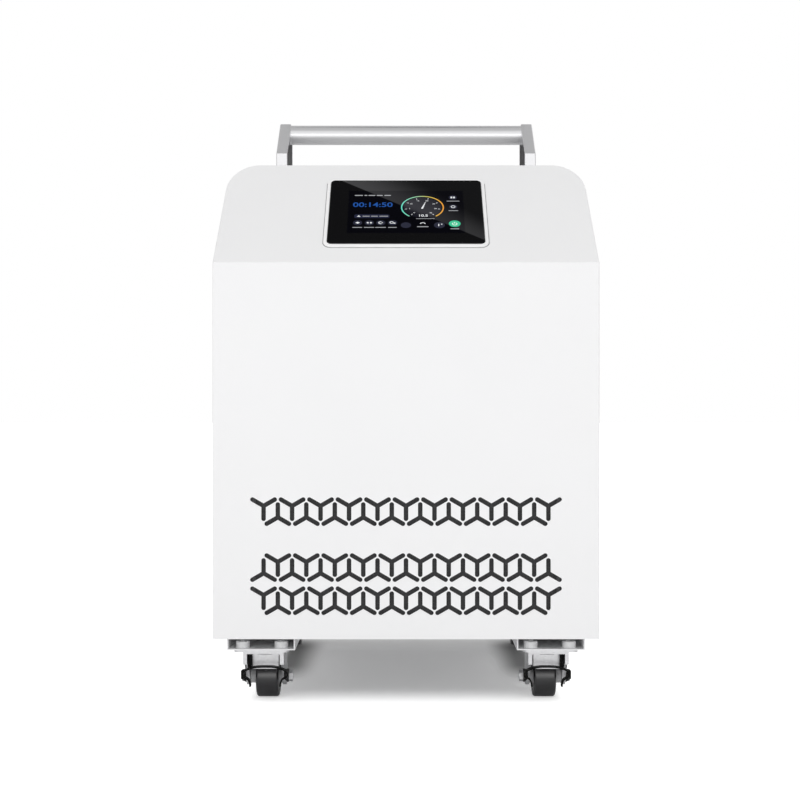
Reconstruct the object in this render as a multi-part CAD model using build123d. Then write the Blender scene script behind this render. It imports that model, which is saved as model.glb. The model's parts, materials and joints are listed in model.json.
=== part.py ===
"""Ice bath chiller: a wheeled sheet-metal cabinet with a sloped touch screen, a carrying handle,
a refrigeration set, a water circuit and a rear fan.

Millimetres. +Z up, the front faces -Y, +X is to the right seen from the front.
The origin is on the floor, in the middle of the whole machine's outline.
"""

from math import cos, radians, sin, tan
import os

from build123d import *

# Cabinet
cabinet_width = 445.0
cabinet_depth = 500.0
panel_height = 433.0
sheet = 1.5
seam = 0.4
edge_radius = 1.5
front_return = 14.0
pan_flange = 20.0
post_leg = 20.0
post_wall = 2.0

# Hood
hood_rise = 139.0
slope_angle = 39.7
hood_shoulder = 38.0
hood_wall = 2.0
hood_edge_radius = 2.0

# Touch screen on the slope
glass_width = 185.6
glass_height = 141.7
glass_thick = 3.0
glass_corner = 6.0
glass_up_slope = 34.6
bezel_rim = 4.2
bezel_proud = 2.4
bezel_corner = glass_corner + bezel_rim
screen_gap = 0.25
display_width = 166.0
display_height = 112.0
display_depth = 9.0
cutout_margin = 2.0
board_width = 150.0
board_height = 96.0
board_thick = 1.6
board_post = 12.0
board_post_radius = 4.0
board_post_inset = 6.0
# x, y, width, height and rise of each block on the board's back
board_blocks = (
    (-45, 15, 26, 26, 3),
    (10, 20, 34, 16, 5),
    (45, -20, 22, 30, 14),
    (-20, -28, 60, 9, 9),
)

# Handle
tube_radius = 12.7
tube_wall = 2.0
tube_lift = 57.0
tube_behind_bracket_front = 62.0
tube_seat = 5.0
handle_inset = 54.5
handle_span = cabinet_width - 2 * handle_inset
bracket_thick = 14.4
bracket_depth = 84.0
bracket_height = 71.5
bracket_step = 22.0
bracket_corner = 10.0
bracket_edge = 1.2
handle_screw_radius = 3.0
handle_screw_spread = 46.0
handle_screw_bite = 15.0

# Air slots
slot_pitch = 32.73
slot_columns = 11
slot_width = 5.2
slot_limb = 14.8
slot_stagger = 6.55
upper_row = 146.5
middle_row = 82.2
lower_row = 44.1
filter_thick = 6.0
filter_rim = 8.0
filter_margin = 14.0

# Casters
wheel_radius = 25.0
tyre_width = 27.0
# The wheel and the pedal's band sit this much towards the cabinet's middle.
wheel_offset = 2.0
tyre_thick = 7.0
tyre_shoulder = 3.0
hub_boss_radius = 9.0
hub_recess = 5.0
hub_inset = 1.0
hub_rim_wall = 2.5
caster_height = 68.0
caster_trail = 25.0
caster_inset = 54.0
caster_centre = cabinet_width / 2 - caster_inset
caster_setback = 67.0
plate_width = 64.0
plate_length = 92.0
plate_thick = 3.0
bolt_spread_x = 45.0
bolt_spread_y = 70.0
bolt_radius = 5.0
bolt_head_radius = 8.0
bolt_head = 7.5
bolt_short = 0.5
bolt_socket_radius = 4.0
upper_race_radius = 24.0
upper_race = 2.0
lower_race_radius = 22.0
race_gap = 0.4
fork_top = 2.5
fork_leg = 4.5
fork_side_gap = 6.0
fork_front = 21.0
fork_back = 24.0
fork_drop = 15.0
fork_toe_radius = 11.0
fork_web = 2.5
fork_web_setback = 17.0
fork_web_width = 33.0
fork_web_drop = 23.0
kingpin_radius = 5.0
kingpin_head_radius = 9.0
kingpin_head = 2.7
lower_race = 1.5
axle_radius = 4.0
axle_head = 3.0
axle_nut = 4.5
axle_stub = 0.5
axle_nut_flats = 13.0
running_gap = 0.05
side_gap = 0.4
pedal_sheet = 2.0
pedal_ear_radius = 8.0
pedal_band_depth = 8.0
pedal_band_thick = 1.8
pedal_front = 22.0
pedal_arm_height = 9.0
# Middle line of half the pedal's band, as X from the caster's middle and Z
pedal_band = (
    (0.0, 43.5),
    (12.0, 42.9),
    (19.0, 41.0),
    (24.6, 38.0),
    (26.6, 34.4),
    (24.6, 31.0),
    (20.6, 28.8),
    (18.4, 25.0),
    (17.8, 20.0),
)

# Support rails under the cabinet
rail_width = 79.0
rail_height = 16.0
rail_setback = 19.0
rail_wall = 1.5

# Rear panel and what it carries
port_reach = 30.0
fan_up = 300.0
fan_rotor_radius = 96.0
fan_tip_gap = 5.0
fan_frame_wall = 7.0
fan_frame_side = 2 * (fan_rotor_radius + fan_tip_gap + fan_frame_wall)
fan_post_gap = 8.0
fan_x = cabinet_width / 2 - sheet - post_leg - fan_post_gap - fan_frame_side / 2
fan_frame_depth = 26.0
fan_frame_corner = 14.0
fan_hub_radius = 34.0
fan_hub_depth = 22.0
fan_blades = 7
fan_blade_thick = 2.0
fan_root_chord = 26.0
fan_root_pitch = 46.0
fan_tip_chord = 42.0
fan_tip_pitch = 25.0
fan_shaft_radius = 4.0
fan_motor_radius = 30.0
fan_motor_length = 36.0
fan_spider = 4
fan_spider_width = 10.0
fan_spider_thick = 3.0
guard_wire = 1.5
guard_rings = 5
guard_spokes = 6
guard_lug_radius = 7.0

# Water circuit
circuit_inset = 97.5
circuit_x = circuit_inset - cabinet_width / 2
port_pitch = 65.0
port_x_out = circuit_x + port_pitch
port_up = 116.0
spigot_radius = 12.5
spigot_bore = 9.0
port_flange_radius = 19.0
port_flange = 4.0
port_inside = 30.0
port_thread_radius = 15.0
hose_radius = 9.0
hose_bore = 6.5
hose_bend = 24.0
filter_up = 336.0
housing_radius = 45.0
housing_wall = 4.0
housing_length = 190.0
housing_flange_radius = 54.0
housing_flange = 4.0
neck_radius = 38.0
neck_reach = 8.0
nipple_radius = 9.0
nipple_length = 14.0
outlet_inset = 30.0
inlet_inset = 80.0
cap_wall = 5.0
cap_skirt = 6.0
cap_grip_width = 13.0
cap_grip = 11.0
cartridge_radius = 30.0
cartridge_core = 12.0
cartridge_length = 150.0
pump_motor_radius = 38.0
pump_motor_height = 95.0
volute_radius = 44.0
volute_height = 34.0
chamber_radius = 33.0
chamber_height = 20.0
impeller_radius = 30.0
impeller_disc = 4.0
impeller_vanes = 6
impeller_vane_height = 10.0
impeller_shaft = 4.0
impeller_lift = 2.0
impeller_tail = 25.0
shaft_bore = 30.0
vane_inset = 8.0
vane_thick = 2.5
vane_tip = 1.0
vane_turn = 20.0
barrel_setback = 155.0
barrel_radius = 58.0
barrel_height = 300.0
barrel_cap_radius = 63.0
barrel_cap_height = 18.0
liquid_port_drop = 40.0
suction_port_drop = 85.0
loop_clear = 70.0

# Refrigeration set
condenser_inset = 52.5
condenser_width = cabinet_width - 2 * condenser_inset
condenser_height = 170.0
condenser_depth = 44.0
condenser_gap = 2.0
condenser_plate = 4.0
fin_pitch = 10.0
fin_thick = 1.2
fin_spine = 8.0
compressor_inset = 127.5
compressor_x = cabinet_width / 2 - compressor_inset
compressor_setback = 175.0
compressor_radius = 60.0
compressor_height = 165.0
compressor_dome = 26.0
compressor_seam = 3.0
foot_reach = 78.0
foot_width = 26.0
foot_thick = 3.0
mount_height = 12.0
mount_radius = 10.0
stub_length = 12.0
stub_offset = 34.0
pipe_radius = 5.0
suction_radius = 7.0
pipe_bend = 14.0
pipe_bore = 4.0
suction_bore = 5.6
pipe_rise = 40.0
drier_gap = 20.0
drier_radius = 10.0
drier_length = 90.0
drier_neck = 12.0

# Drain valve
drain_up = 48.0
drain_beside_port = 40.0
drain_x = port_x_out + drain_beside_port
drain_radius = 9.0
drain_bore = 5.0
drain_reach = 27.0
drain_inside = 18.0
drain_hose_radius = 7.0
drain_hose_bend = 24.0
drain_flange_radius = 15.0
drain_stem_radius = 3.0
drain_stem = 7.0
drain_lever_length = 30.0
drain_lever_width = 9.0
drain_lever_thick = 4.0

# Mains inlet and switch
mains_inset = 62.5
inlet_x = cabinet_width / 2 - mains_inset
inlet_up = 66.0
inlet_width = 27.0
inlet_height = 20.0
inlet_depth = 28.0
inlet_flange_width = 50.0
inlet_flange_height = 31.0
inlet_flange = 2.5
socket_width = 24.0
socket_height = 16.0
socket_depth = 18.0
pin_width = 2.0
pin_height = 4.0
pin_length = 12.0
pin_spread = 7.0
switch_x = inlet_x
switch_up = 112.0
switch_width = 15.0
switch_height = 23.0
switch_flange = 2.0
switch_rim = 2.2
switch_depth = 16.0
switch_wall = 1.6
rocker_gap = 0.5
rocker_tilt = 9.0
rocker_deep = 6.0
rocker_proud = 2.2
trunnion_radius = 1.5

# Fasteners
screw_radius = 2.0
screw_head_radius = 4.0
screw_head = 2.0
screw_gap = 0.25
screw_length = 8.0

# Worked-out levels and limits
base_z = caster_height + rail_height
panel_top = base_z + panel_height
hood_top = panel_top + hood_rise
front_y = -(cabinet_depth + port_reach) / 2
rear_y = front_y + cabinet_depth
half_width = cabinet_width / 2
pan_top = base_z + sheet
rear_inner = rear_y - sheet
front_inner = front_y + sheet
side_inner = half_width - sheet
slope_up = (0, cos(radians(slope_angle)), sin(radians(slope_angle)))
slope_out = (0, -sin(radians(slope_angle)), cos(radians(slope_angle)))


def slab(x, y, z):
    """A block between a low and a high limit on each axis."""
    size = (x[1] - x[0], y[1] - y[0], z[1] - z[0])
    return Pos(x[0], y[0], z[0]) * Box(*size, align=(Align.MIN, Align.MIN, Align.MIN))


def rod(radius, start, end):
    """A round bar from one point to another."""
    along = Vector(*end) - Vector(*start)
    return extrude(Plane(origin=start, z_dir=along) * Circle(radius), along.length)


def tube(radius, bore, start, end):
    """A round bar with a bore right through."""
    along = Vector(*end) - Vector(*start)
    ring = Circle(radius) - Circle(bore)
    return extrude(Plane(origin=start, z_dir=along) * ring, along.length)


def hex_bar(flats, start, end):
    """A hexagonal bar, measured across its flats."""
    along = Vector(*end) - Vector(*start)
    outline = RegularPolygon(flats / 2, 6, major_radius=False)
    return extrude(Plane(origin=start, z_dir=along) * outline, along.length)


def side_profile(points, x_low, x_high):
    """A prism along X from an outline of (y, z) points."""
    outline = Polyline(*[(x_low, y, z) for y, z in points], close=True)
    return extrude(make_face(outline), x_high - x_low, dir=(1, 0, 0))


def bent_tube(points, radius, bore, bend):
    """A tube along straight runs with tangent arcs."""
    route = FilletPolyline(*points, radius=bend)
    along = Vector(*points[1]) - Vector(*points[0])
    ring = Circle(radius) - Circle(bore)
    return sweep(Plane(origin=points[0], z_dir=along) * ring, path=route)


def write(name, shape):
    """Writes one piece, or one group of like pieces, as its own node."""
    export_step(shape, f"parts/{name}.step")


def group(solids):
    """Separate solids of one node."""
    return Compound(children=list(solids))


# Fastener places, shared by the screws and the holes that they pass through
post_x = side_inner - post_leg / 2
rear_screw_z = [base_z + share * panel_height for share in (0.06, 0.35, 0.65, 0.94)]
rear_screws = [(side * post_x, z) for side in (-1, 1) for z in rear_screw_z]
fan_centre = (fan_x, base_z + fan_up)
guard_radius = fan_rotor_radius + fan_tip_gap + guard_lug_radius
guard_lugs = [
    (fan_centre[0] + guard_radius * cos(radians(turn)), fan_centre[1] + guard_radius * sin(radians(turn)))
    for turn in (45, 135, 225, 315)
]


def build_base_pan():
    half_y = (front_inner, rear_inner)
    outer = slab((-side_inner, side_inner), half_y, (base_z, base_z + pan_flange))
    pocket_y = (half_y[0] + sheet, half_y[1] - sheet)
    pocket_x = side_inner - sheet
    pocket = slab((-pocket_x, pocket_x), pocket_y, (pan_top, base_z + pan_flange))
    return outer - pocket


def build_posts():
    """Corner angles that stand on the pan's flange and take the rear panel's screws."""
    posts = []
    foot = base_z + pan_flange
    for side in (-1, 1):
        for y, inward in ((front_inner, 1), (rear_inner, -1)):
            corner_x = side * side_inner
            leg_x = sorted((corner_x, corner_x - side * post_leg))
            leg_y = sorted((y, y + inward * post_leg))
            inner_x = sorted((corner_x - side * post_wall, corner_x - side * post_leg))
            inner_y = sorted((y + inward * post_wall, y + inward * post_leg))
            post = slab(leg_x, leg_y, (foot, panel_top)) - slab(inner_x, inner_y, (foot, panel_top))
            for x, z in rear_screws:
                if inward < 0 and x * side > 0:
                    post -= rod(screw_radius + screw_gap, (x, y - post_wall, z), (x, y, z))
            posts.append(post)
    return posts


def y_slots():
    """Three rows of staggered three-limbed slots, in the plane of the front panel."""
    limb = Pos(slot_limb / 2, 0) * SlotCenterToCenter(slot_limb, slot_width)
    star = Rot(0, 0, 30) * limb + Rot(0, 0, 150) * limb + Rot(0, 0, 270) * limb
    stars = []
    for row, upright in ((upper_row, 1), (middle_row, -1), (lower_row, 1)):
        for step in range(2 * slot_columns - 1):
            facing = upright if step % 2 == 0 else -upright
            x = (step - slot_columns + 1) * slot_pitch / 2
            turn = 0 if facing > 0 else 180
            stars.append(Pos(x, row + facing * slot_stagger) * Rot(0, 0, turn) * star)
    return Sketch() + stars


def build_front_panel():
    outline = slab(
        (-half_width, half_width), (front_y, front_y + front_return), (base_z, panel_top)
    )
    outline = fillet(outline.edges().filter_by(Axis.Z).group_by(Axis.Y)[0], edge_radius)
    hollow = slab(
        (-side_inner, side_inner), (front_inner, front_y + front_return), (base_z, panel_top)
    )
    face = Plane(origin=(0, front_y, base_z), x_dir=(1, 0, 0), z_dir=(0, -1, 0))
    cuts = extrude(face * y_slots(), -2 * sheet)
    return outline - hollow - cuts


def build_dust_filter():
    reach_x = (slot_columns - 1) * slot_pitch / 2 + filter_margin
    low = base_z + lower_row - slot_pitch / 2 - filter_rim / 2
    high = base_z + upper_row + slot_pitch / 2 + filter_rim
    y = (front_inner, front_inner + filter_thick)
    frame = slab((-reach_x, reach_x), y, (low, high))
    window_x = reach_x - filter_rim / 2
    window_z = (low + filter_rim / 2, high - filter_rim / 2)
    return frame - slab((-window_x, window_x), (y[0], y[0] + filter_thick / 2), window_z)


def build_side_panel(side):
    x = sorted((side * side_inner, side * half_width))
    return slab(x, (front_y + front_return + seam, rear_inner), (base_z, panel_top))


def hood_body(inset):
    """The hood's outer form, or its hollow when inset by the wall."""
    half = half_width - inset
    top = hood_top - inset
    section = Plane(origin=(0, rear_y - inset, 0), x_dir=(1, 0, 0), z_dir=(0, -1, 0)) * (
        Pos(0, (top + panel_top) / 2) * Rectangle(2 * half, top - panel_top)
    )
    body = extrude(section, cabinet_depth - 2 * inset)
    shoulders = body.edges().filter_by(Axis.Y).group_by(Axis.Z)[-1]
    body = fillet(shoulders, hood_shoulder - inset)
    slope = Plane(origin=(0, front_y, panel_top), x_dir=(1, 0, 0), z_dir=slope_out)
    return split(body, bisect_by=slope.offset(-inset), keep=Keep.BOTTOM)


def slope_plane(lift=0.0):
    """The slope's face, its origin at the middle of the screen glass."""
    up = glass_up_slope + glass_height / 2
    origin = Vector(0, front_y, panel_top) + Vector(*slope_up) * up + Vector(*slope_out) * lift
    return Plane(origin=origin, x_dir=(1, 0, 0), z_dir=slope_out)


def build_hood():
    outer = hood_body(0)
    rims = outer.edges().filter_by(lambda edge: edge.center().Z > panel_top + 1)
    outer = fillet(rims, hood_edge_radius)
    hood = outer - hood_body(hood_wall)
    cutout = Rectangle(display_width + 2 * cutout_margin, display_height + 2 * cutout_margin)
    hood -= extrude(slope_plane(1) * cutout, -(hood_wall + 2))
    for x, y in handle_screw_places():
        hood -= rod(handle_screw_radius + screw_gap, (x, y, hood_top - 2 * hood_wall), (x, y, hood_top + 1))
    return hood


def build_rear_panel():
    panel = slab((-half_width, half_width), (rear_inner, rear_y), (base_z, panel_top))
    rounds = [(*fan_centre, fan_rotor_radius + fan_tip_gap)]
    rounds.append((circuit_x, base_z + filter_up, neck_radius + seam))
    rounds += [(x, base_z + port_up, port_thread_radius + seam) for x in (circuit_x, port_x_out)]
    rounds.append((drain_x, base_z + drain_up, drain_radius + seam))
    rounds += [(x, z, screw_radius + screw_gap) for x, z in rear_screws + guard_lugs]
    for x, z, radius in rounds:
        panel -= rod(radius, (x, rear_inner - 1, z), (x, rear_y + 1, z))
    for x, up, width, height in (
        (inlet_x, inlet_up, inlet_width, inlet_height),
        (switch_x, switch_up, switch_width, switch_height),
    ):
        half_x = width / 2 + seam
        half_z = height / 2 + seam
        z = base_z + up
        panel -= slab((x - half_x, x + half_x), (rear_inner - 1, rear_y + 1), (z - half_z, z + half_z))
    return panel


def handle_screw_places():
    middle = front_y + cabinet_depth / 2
    x = handle_span / 2 - bracket_thick / 2
    return [
        (side * x, middle + end * handle_screw_spread / 2) for side in (-1, 1) for end in (-1, 1)
    ]


def tube_axis():
    """Y and Z of the handle tube's axis."""
    bracket_front = front_y + (cabinet_depth - bracket_depth) / 2
    return bracket_front + tube_behind_bracket_front, hood_top + tube_lift


def corner_edges(solid, y, z):
    """Edges along X that pass through one point of the side view."""
    near = 0.1
    return solid.edges().filter_by(Axis.X).filter_by(
        lambda edge: abs(edge.center().Y - y) < near and abs(edge.center().Z - z) < near
    )


def build_bracket(side):
    """Handle bracket: a thick plate, its front edge stepped back like the hood's slope."""
    front = front_y + (cabinet_depth - bracket_depth) / 2
    back = front + bracket_depth
    top = hood_top + bracket_height
    lean = (bracket_height - bracket_step) / tan(radians(slope_angle))
    points = [(front, hood_top), (back, hood_top), (back, top), (front + lean, top)]
    points.append((front, hood_top + bracket_step))
    x = sorted((side * handle_span / 2, side * (handle_span / 2 - bracket_thick)))
    bracket = side_profile(points, *x)
    bracket = fillet(corner_edges(bracket, back, top), bracket_corner)
    bracket = fillet(corner_edges(bracket, front + lean, top), bracket_edge)
    rims = bracket.edges().filter_by(
        lambda edge: edge.bounding_box().size.X < 0.01 and edge.center().Z > hood_top + 0.5
    )
    bracket = fillet(rims, bracket_edge)
    y, z = tube_axis()
    inner = side * (handle_span / 2 - bracket_thick)
    bracket -= rod(tube_radius + running_gap, (inner - side, y, z), (inner + side * tube_seat, y, z))
    for place_x, place_y in handle_screw_places():
        if place_x * side > 0:
            low = (place_x, place_y, hood_top - 1)
            high = (place_x, place_y, hood_top + handle_screw_bite + 1)
            bracket -= rod(handle_screw_radius + running_gap, low, high)
    return bracket


def build_handle_tube():
    y, z = tube_axis()
    reach = handle_span / 2 - bracket_thick + tube_seat
    return tube(tube_radius, tube_radius - tube_wall, (-reach, y, z), (reach, y, z))


def pan_screw(x, z, seat, tip):
    """A cross-slot screw along Y, its head outside the seat."""
    crown = seat + screw_head
    head = rod(screw_head_radius, (x, seat, z), (x, crown, z))
    head = fillet(head.edges().filter_by(GeomType.CIRCLE).sort_by(Axis.Y)[-1], screw_head * 0.45)
    bar = Rectangle(screw_head_radius, screw_head / 3)
    cross = Plane(origin=(x, crown, z), z_dir=(0, 1, 0)) * (bar + Rot(0, 0, 90) * bar)
    return head + rod(screw_radius, (x, tip, z), (x, seat, z)) - extrude(cross, -screw_head / 2)


def build_screws():
    """Screws of the rear panel and the fan guard, and the handle's screws under the hood."""
    screws = [pan_screw(x, z, rear_y, rear_y - screw_length) for x, z in rear_screws]
    seat = rear_y + 2 * guard_wire
    screws += [pan_screw(x, z, seat, rear_inner - screw_length) for x, z in guard_lugs]
    under = hood_top - hood_wall
    for x, y in handle_screw_places():
        shank = rod(handle_screw_radius, (x, y, under), (x, y, hood_top + handle_screw_bite))
        head = hex_bar(3.4 * handle_screw_radius, (x, y, under - handle_screw_radius), (x, y, under))
        screws.append(shank + head)
    return screws


def build_bezel():
    width = glass_width + 2 * bezel_rim
    height = glass_height + 2 * bezel_rim
    ring = RectangleRounded(width, height, bezel_corner)
    gap = screen_gap
    ring -= RectangleRounded(glass_width + 2 * gap, glass_height + 2 * gap, glass_corner + gap)
    bezel = extrude(slope_plane() * ring, bezel_proud)
    top = bezel.faces().sort_by(Axis(slope_plane().origin, slope_out))[-1]
    return fillet(top.outer_wire().edges(), bezel_proud * 0.4)


def build_glass():
    outline = RectangleRounded(glass_width, glass_height, glass_corner)
    glass = extrude(slope_plane() * outline, glass_thick)
    top = glass.faces().sort_by(Axis(slope_plane().origin, slope_out))[-1]
    return chamfer(top.outer_wire().edges(), glass_thick * 0.15)


def build_display():
    """The display behind the glass, with four posts for its board."""
    body = extrude(slope_plane() * Rectangle(display_width, display_height), -display_depth)
    for x in (-1, 1):
        for y in (-1, 1):
            across = x * (board_width / 2 - board_post_inset)
            along = y * (board_height / 2 - board_post_inset)
            post = slope_plane(-display_depth) * Pos(across, along) * Circle(board_post_radius)
            body += extrude(post, -board_post)
    return body


def build_control_board():
    depth = display_depth + board_post
    outline = Rectangle(board_width, board_height)
    board = extrude(slope_plane(-depth) * outline, -board_thick)
    back = slope_plane(-depth - board_thick)
    for x, y, width, height, rise in board_blocks:
        board += extrude(back * Pos(x, y) * Rectangle(width, height), -rise)
    return board


def build_rails():
    rails = []
    low = caster_height
    y = (front_y + rail_setback, rear_y - rail_setback)
    for side in (-1, 1):
        x = side * caster_centre
        outer = slab((x - rail_width / 2, x + rail_width / 2), y, (low, base_z))
        inner_x = rail_width / 2 - rail_wall
        rail = outer - slab((x - inner_x, x + inner_x), y, (low + rail_wall, base_z))
        for end in (-1, 1):
            for place in bolt_places(x, caster_y(end)):
                rail -= rod(bolt_radius + screw_gap, (*place, low - 1), (*place, low + rail_wall))
        rails.append(rail)
    return rails


def caster_y(end):
    """Y of the swivel axis: end is -1 at the front and 1 at the rear."""
    return front_y + caster_setback if end < 0 else rear_y - caster_setback


def bolt_places(x, y):
    return [
        (x + i * bolt_spread_x / 2, y + j * bolt_spread_y / 2) for i in (-1, 1) for j in (-1, 1)
    ]


def build_caster_plate(x, y):
    """Top plate with its upper race, and the riveted kingpin that carries the fork."""
    top = caster_height
    low = top - plate_thick
    plate = Pos(x, y, low) * extrude(RectangleRounded(plate_width, plate_length, 6), plate_thick)
    for bolt_x, bolt_y in bolt_places(x, y):
        plate -= rod(bolt_radius + screw_gap, (bolt_x, bolt_y, low - 1), (bolt_x, bolt_y, top + 1))
    race = rod(upper_race_radius, (x, y, low - upper_race), (x, y, low))
    race = fillet(race.edges().sort_by(Axis.Z)[0], upper_race * 0.4)
    head_top = fork_underside() - race_gap
    pin = rod(kingpin_radius, (x, y, head_top), (x, y, low))
    head = rod(kingpin_head_radius, (x, y, head_top - kingpin_head), (x, y, head_top))
    head = fillet(head.edges().sort_by(Axis.Z)[0], kingpin_head * 0.6)
    return plate + race + pin + head


def race_level():
    """Top of the fork's lower race."""
    return caster_height - plate_thick - upper_race - race_gap


def fork_underside():
    return race_level() - lower_race - fork_top


def build_caster_fasteners(x, y):
    """Cap bolts through the rail, screwed into the plate's tapped holes."""
    solids = []
    seat = caster_height + rail_wall
    crown = seat + bolt_head
    under = caster_height - plate_thick
    tip = under + bolt_short
    for place in bolt_places(x, y):
        head = rod(bolt_head_radius, (*place, seat), (*place, crown))
        head = chamfer(head.edges().sort_by(Axis.Z)[-1], bolt_head / 10)
        head -= hex_bar(2 * bolt_socket_radius, (*place, crown - bolt_head / 2), (*place, crown))
        solids.append(head + rod(bolt_radius, (*place, tip), (*place, seat)))
    return solids


def fork_inner():
    return tyre_width / 2 + fork_side_gap


def fork_outer():
    return fork_inner() + fork_leg


def build_fork(x, y):
    """Pressed fork with a lower race on top and a web in front of the wheel."""
    top = race_level() - lower_race
    under = fork_underside()
    axle_y = y + caster_trail
    outer = fork_outer()
    fork = slab((-outer, outer), (y - fork_front, y + fork_back), (under, top))
    points = [(y - fork_front, top), (y + fork_back, top)]
    points.append((axle_y + fork_toe_radius, wheel_radius))
    points.append((axle_y - fork_toe_radius, wheel_radius))
    points.append((y - fork_front / 3, top - fork_drop))
    points.append((y - fork_front, top - fork_drop))
    for side in (-1, 1):
        leg_x = sorted((side * fork_inner(), side * outer))
        fork += side_profile(points, *leg_x)
        fork += rod(fork_toe_radius, (leg_x[0], axle_y, wheel_radius), (leg_x[1], axle_y, wheel_radius))
    web_y = y - fork_front + fork_web_setback
    web_x = fork_web_width / 2
    fork += slab((-web_x, web_x), (web_y, web_y + fork_web), (top - fork_web_drop, top))
    # The web is notched around the kingpin's head.
    head_room = kingpin_head + 2 * race_gap
    fork -= rod(kingpin_head_radius + race_gap, (0, y, under - head_room), (0, y, under))
    fork += rod(lower_race_radius, (0, y, top), (0, y, race_level()))
    fork -= rod(kingpin_radius + running_gap, (0, y, under - 1), (0, y, race_level() + 1))
    bore = ((-outer - 1, axle_y, wheel_radius), (outer + 1, axle_y, wheel_radius))
    fork -= rod(axle_radius + running_gap, *bore)
    return Pos(x, 0, 0) * fork


def build_axle(x, y, braked, nut_side):
    """Axle bolt and its nut, the nut on the side towards the cabinet's middle."""
    axle_y = y + caster_trail
    reach = fork_outer() + (side_gap + pedal_sheet if braked else 0) + side_gap
    z = wheel_radius
    nut_x = nut_side * reach
    axle = rod(axle_radius, (-nut_side * reach, axle_y, z), (nut_x + nut_side * (axle_nut + axle_stub), axle_y, z))
    head_x = -nut_side * reach
    axle += hex_bar(axle_nut_flats, (head_x - nut_side * axle_head, axle_y, z), (head_x, axle_y, z))
    axle += hex_bar(axle_nut_flats, (nut_x, axle_y, z), (nut_x + nut_side * axle_nut, axle_y, z))
    return Pos(x, 0, 0) * axle


def wheel_shift(x):
    """How far the wheel's middle lies to the right of its fork's middle."""
    return -wheel_offset if x > 0 else wheel_offset


def build_hub(x, y):
    axle_y = y + caster_trail
    mid = wheel_shift(x)
    rim = wheel_radius - tyre_thick
    half = tyre_width / 2
    z = wheel_radius
    face = half - hub_inset
    hub = rod(rim, (mid - face, axle_y, z), (mid + face, axle_y, z))
    for side in (-1, 1):
        start = (mid + side * (face - hub_recess), axle_y, z)
        hub -= tube(rim - hub_rim_wall, hub_boss_radius, start, (mid + side * half, axle_y, z))
    boss = fork_inner() - side_gap
    hub += rod(hub_boss_radius, (-boss, axle_y, z), (boss, axle_y, z))
    hub -= rod(axle_radius + running_gap, (-boss - 1, axle_y, z), (boss + 1, axle_y, z))
    return Pos(x, 0, 0) * hub


def build_tyre(x, y):
    axle_y = y + caster_trail
    half = tyre_width / 2
    mid = x + wheel_shift(x)
    tyre = rod(wheel_radius, (mid - half, axle_y, wheel_radius), (mid + half, axle_y, wheel_radius))
    rims = tyre.edges().filter_by(GeomType.CIRCLE)
    tyre = fillet(rims, tyre_shoulder)
    bore = wheel_radius - tyre_thick
    tyre -= rod(bore, (mid - half - 1, axle_y, wheel_radius), (mid + half + 1, axle_y, wheel_radius))
    return tyre


def build_pedal(x, y):
    """Brake pedal: a thin arched band with curled ends, on two arms that turn on the axle."""
    axle_y = y + caster_trail
    inner = fork_outer() + side_gap
    outer = inner + pedal_sheet
    front = y - pedal_front
    back = front + pedal_band_depth
    z = wheel_radius
    line = [(-px, pz) for px, pz in reversed(pedal_band[1:])] + list(pedal_band)
    sides = ([], [])
    for at, (px, pz) in enumerate(line):
        before = line[max(at - 1, 0)]
        after = line[min(at + 1, len(line) - 1)]
        run = (after[0] - before[0], after[1] - before[1])
        step = pedal_band_thick / 2 / (run[0] ** 2 + run[1] ** 2) ** 0.5
        for side, points in zip((-1, 1), sides):
            across = wheel_shift(x) + px - side * run[1] * step
            points.append((across, pz + side * run[0] * step))
    under, over = sides
    edges = [Spline(*over), Line(over[-1], under[-1]), Spline(*reversed(under)), Line(under[0], over[0])]
    plane = Plane(origin=(0, back, 0), x_dir=(1, 0, 0), z_dir=(0, -1, 0))
    pedal = extrude(plane * make_face(edges), pedal_band_depth)
    level = max(pedal_band)[1]
    half = pedal_arm_height / 2
    outline = [(front, level - half), (front, level + half), (back, level + half)]
    outline += [(axle_y, z + pedal_ear_radius), (axle_y + 1, z), (axle_y, z - pedal_ear_radius)]
    for side in (-1, 1):
        ear_x = sorted((side * inner, side * outer))
        ear = side_profile(outline, *ear_x)
        ear += rod(pedal_ear_radius, (ear_x[0], axle_y, z), (ear_x[1], axle_y, z))
        bore = ((ear_x[0] - 1, axle_y, z), (ear_x[1] + 1, axle_y, z))
        pedal += ear - rod(axle_radius + running_gap, *bore)
    return Pos(x, 0, 0) * pedal


def build_condenser():
    """Finned coil between two end plates that stand on the pan."""
    y0 = front_inner + filter_thick + condenser_gap
    y1 = y0 + condenser_depth
    half = condenser_width / 2 - condenser_plate
    low = pan_top + 10
    high = low + condenser_height
    middle = (y0 + y1) / 2
    count = int(2 * half // fin_pitch)
    fins = [Pos(0, middle) * Rectangle(2 * half, fin_spine)]
    for step in range(count):
        fin_x = (step - (count - 1) / 2) * fin_pitch
        fins.append(Pos(fin_x, middle) * Rectangle(fin_thick, condenser_depth))
    fins = Sketch() + fins
    block = Pos(0, 0, low) * extrude(fins, condenser_height)
    for side in (-1, 1):
        x = sorted((side * half, side * (half + condenser_plate)))
        block += slab(x, (y0, y1), (pan_top, high))
    for stub_x in (condenser_in()[0], condenser_out()[0]):
        block += rod(suction_radius, (stub_x, middle, high - 5), (stub_x, middle, high + stub_length))
    return block


def condenser_stub(x):
    y = front_inner + filter_thick + condenser_gap + condenser_depth / 2
    return (x, y, pan_top + 10 + condenser_height + stub_length)


def condenser_in():
    return condenser_stub(condenser_width / 2 - 20)


def condenser_out():
    return condenser_stub(-condenser_width * 0.06)


def compressor_y():
    return front_y + compressor_setback


def compressor_top():
    return pan_top + mount_height + compressor_height


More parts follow.
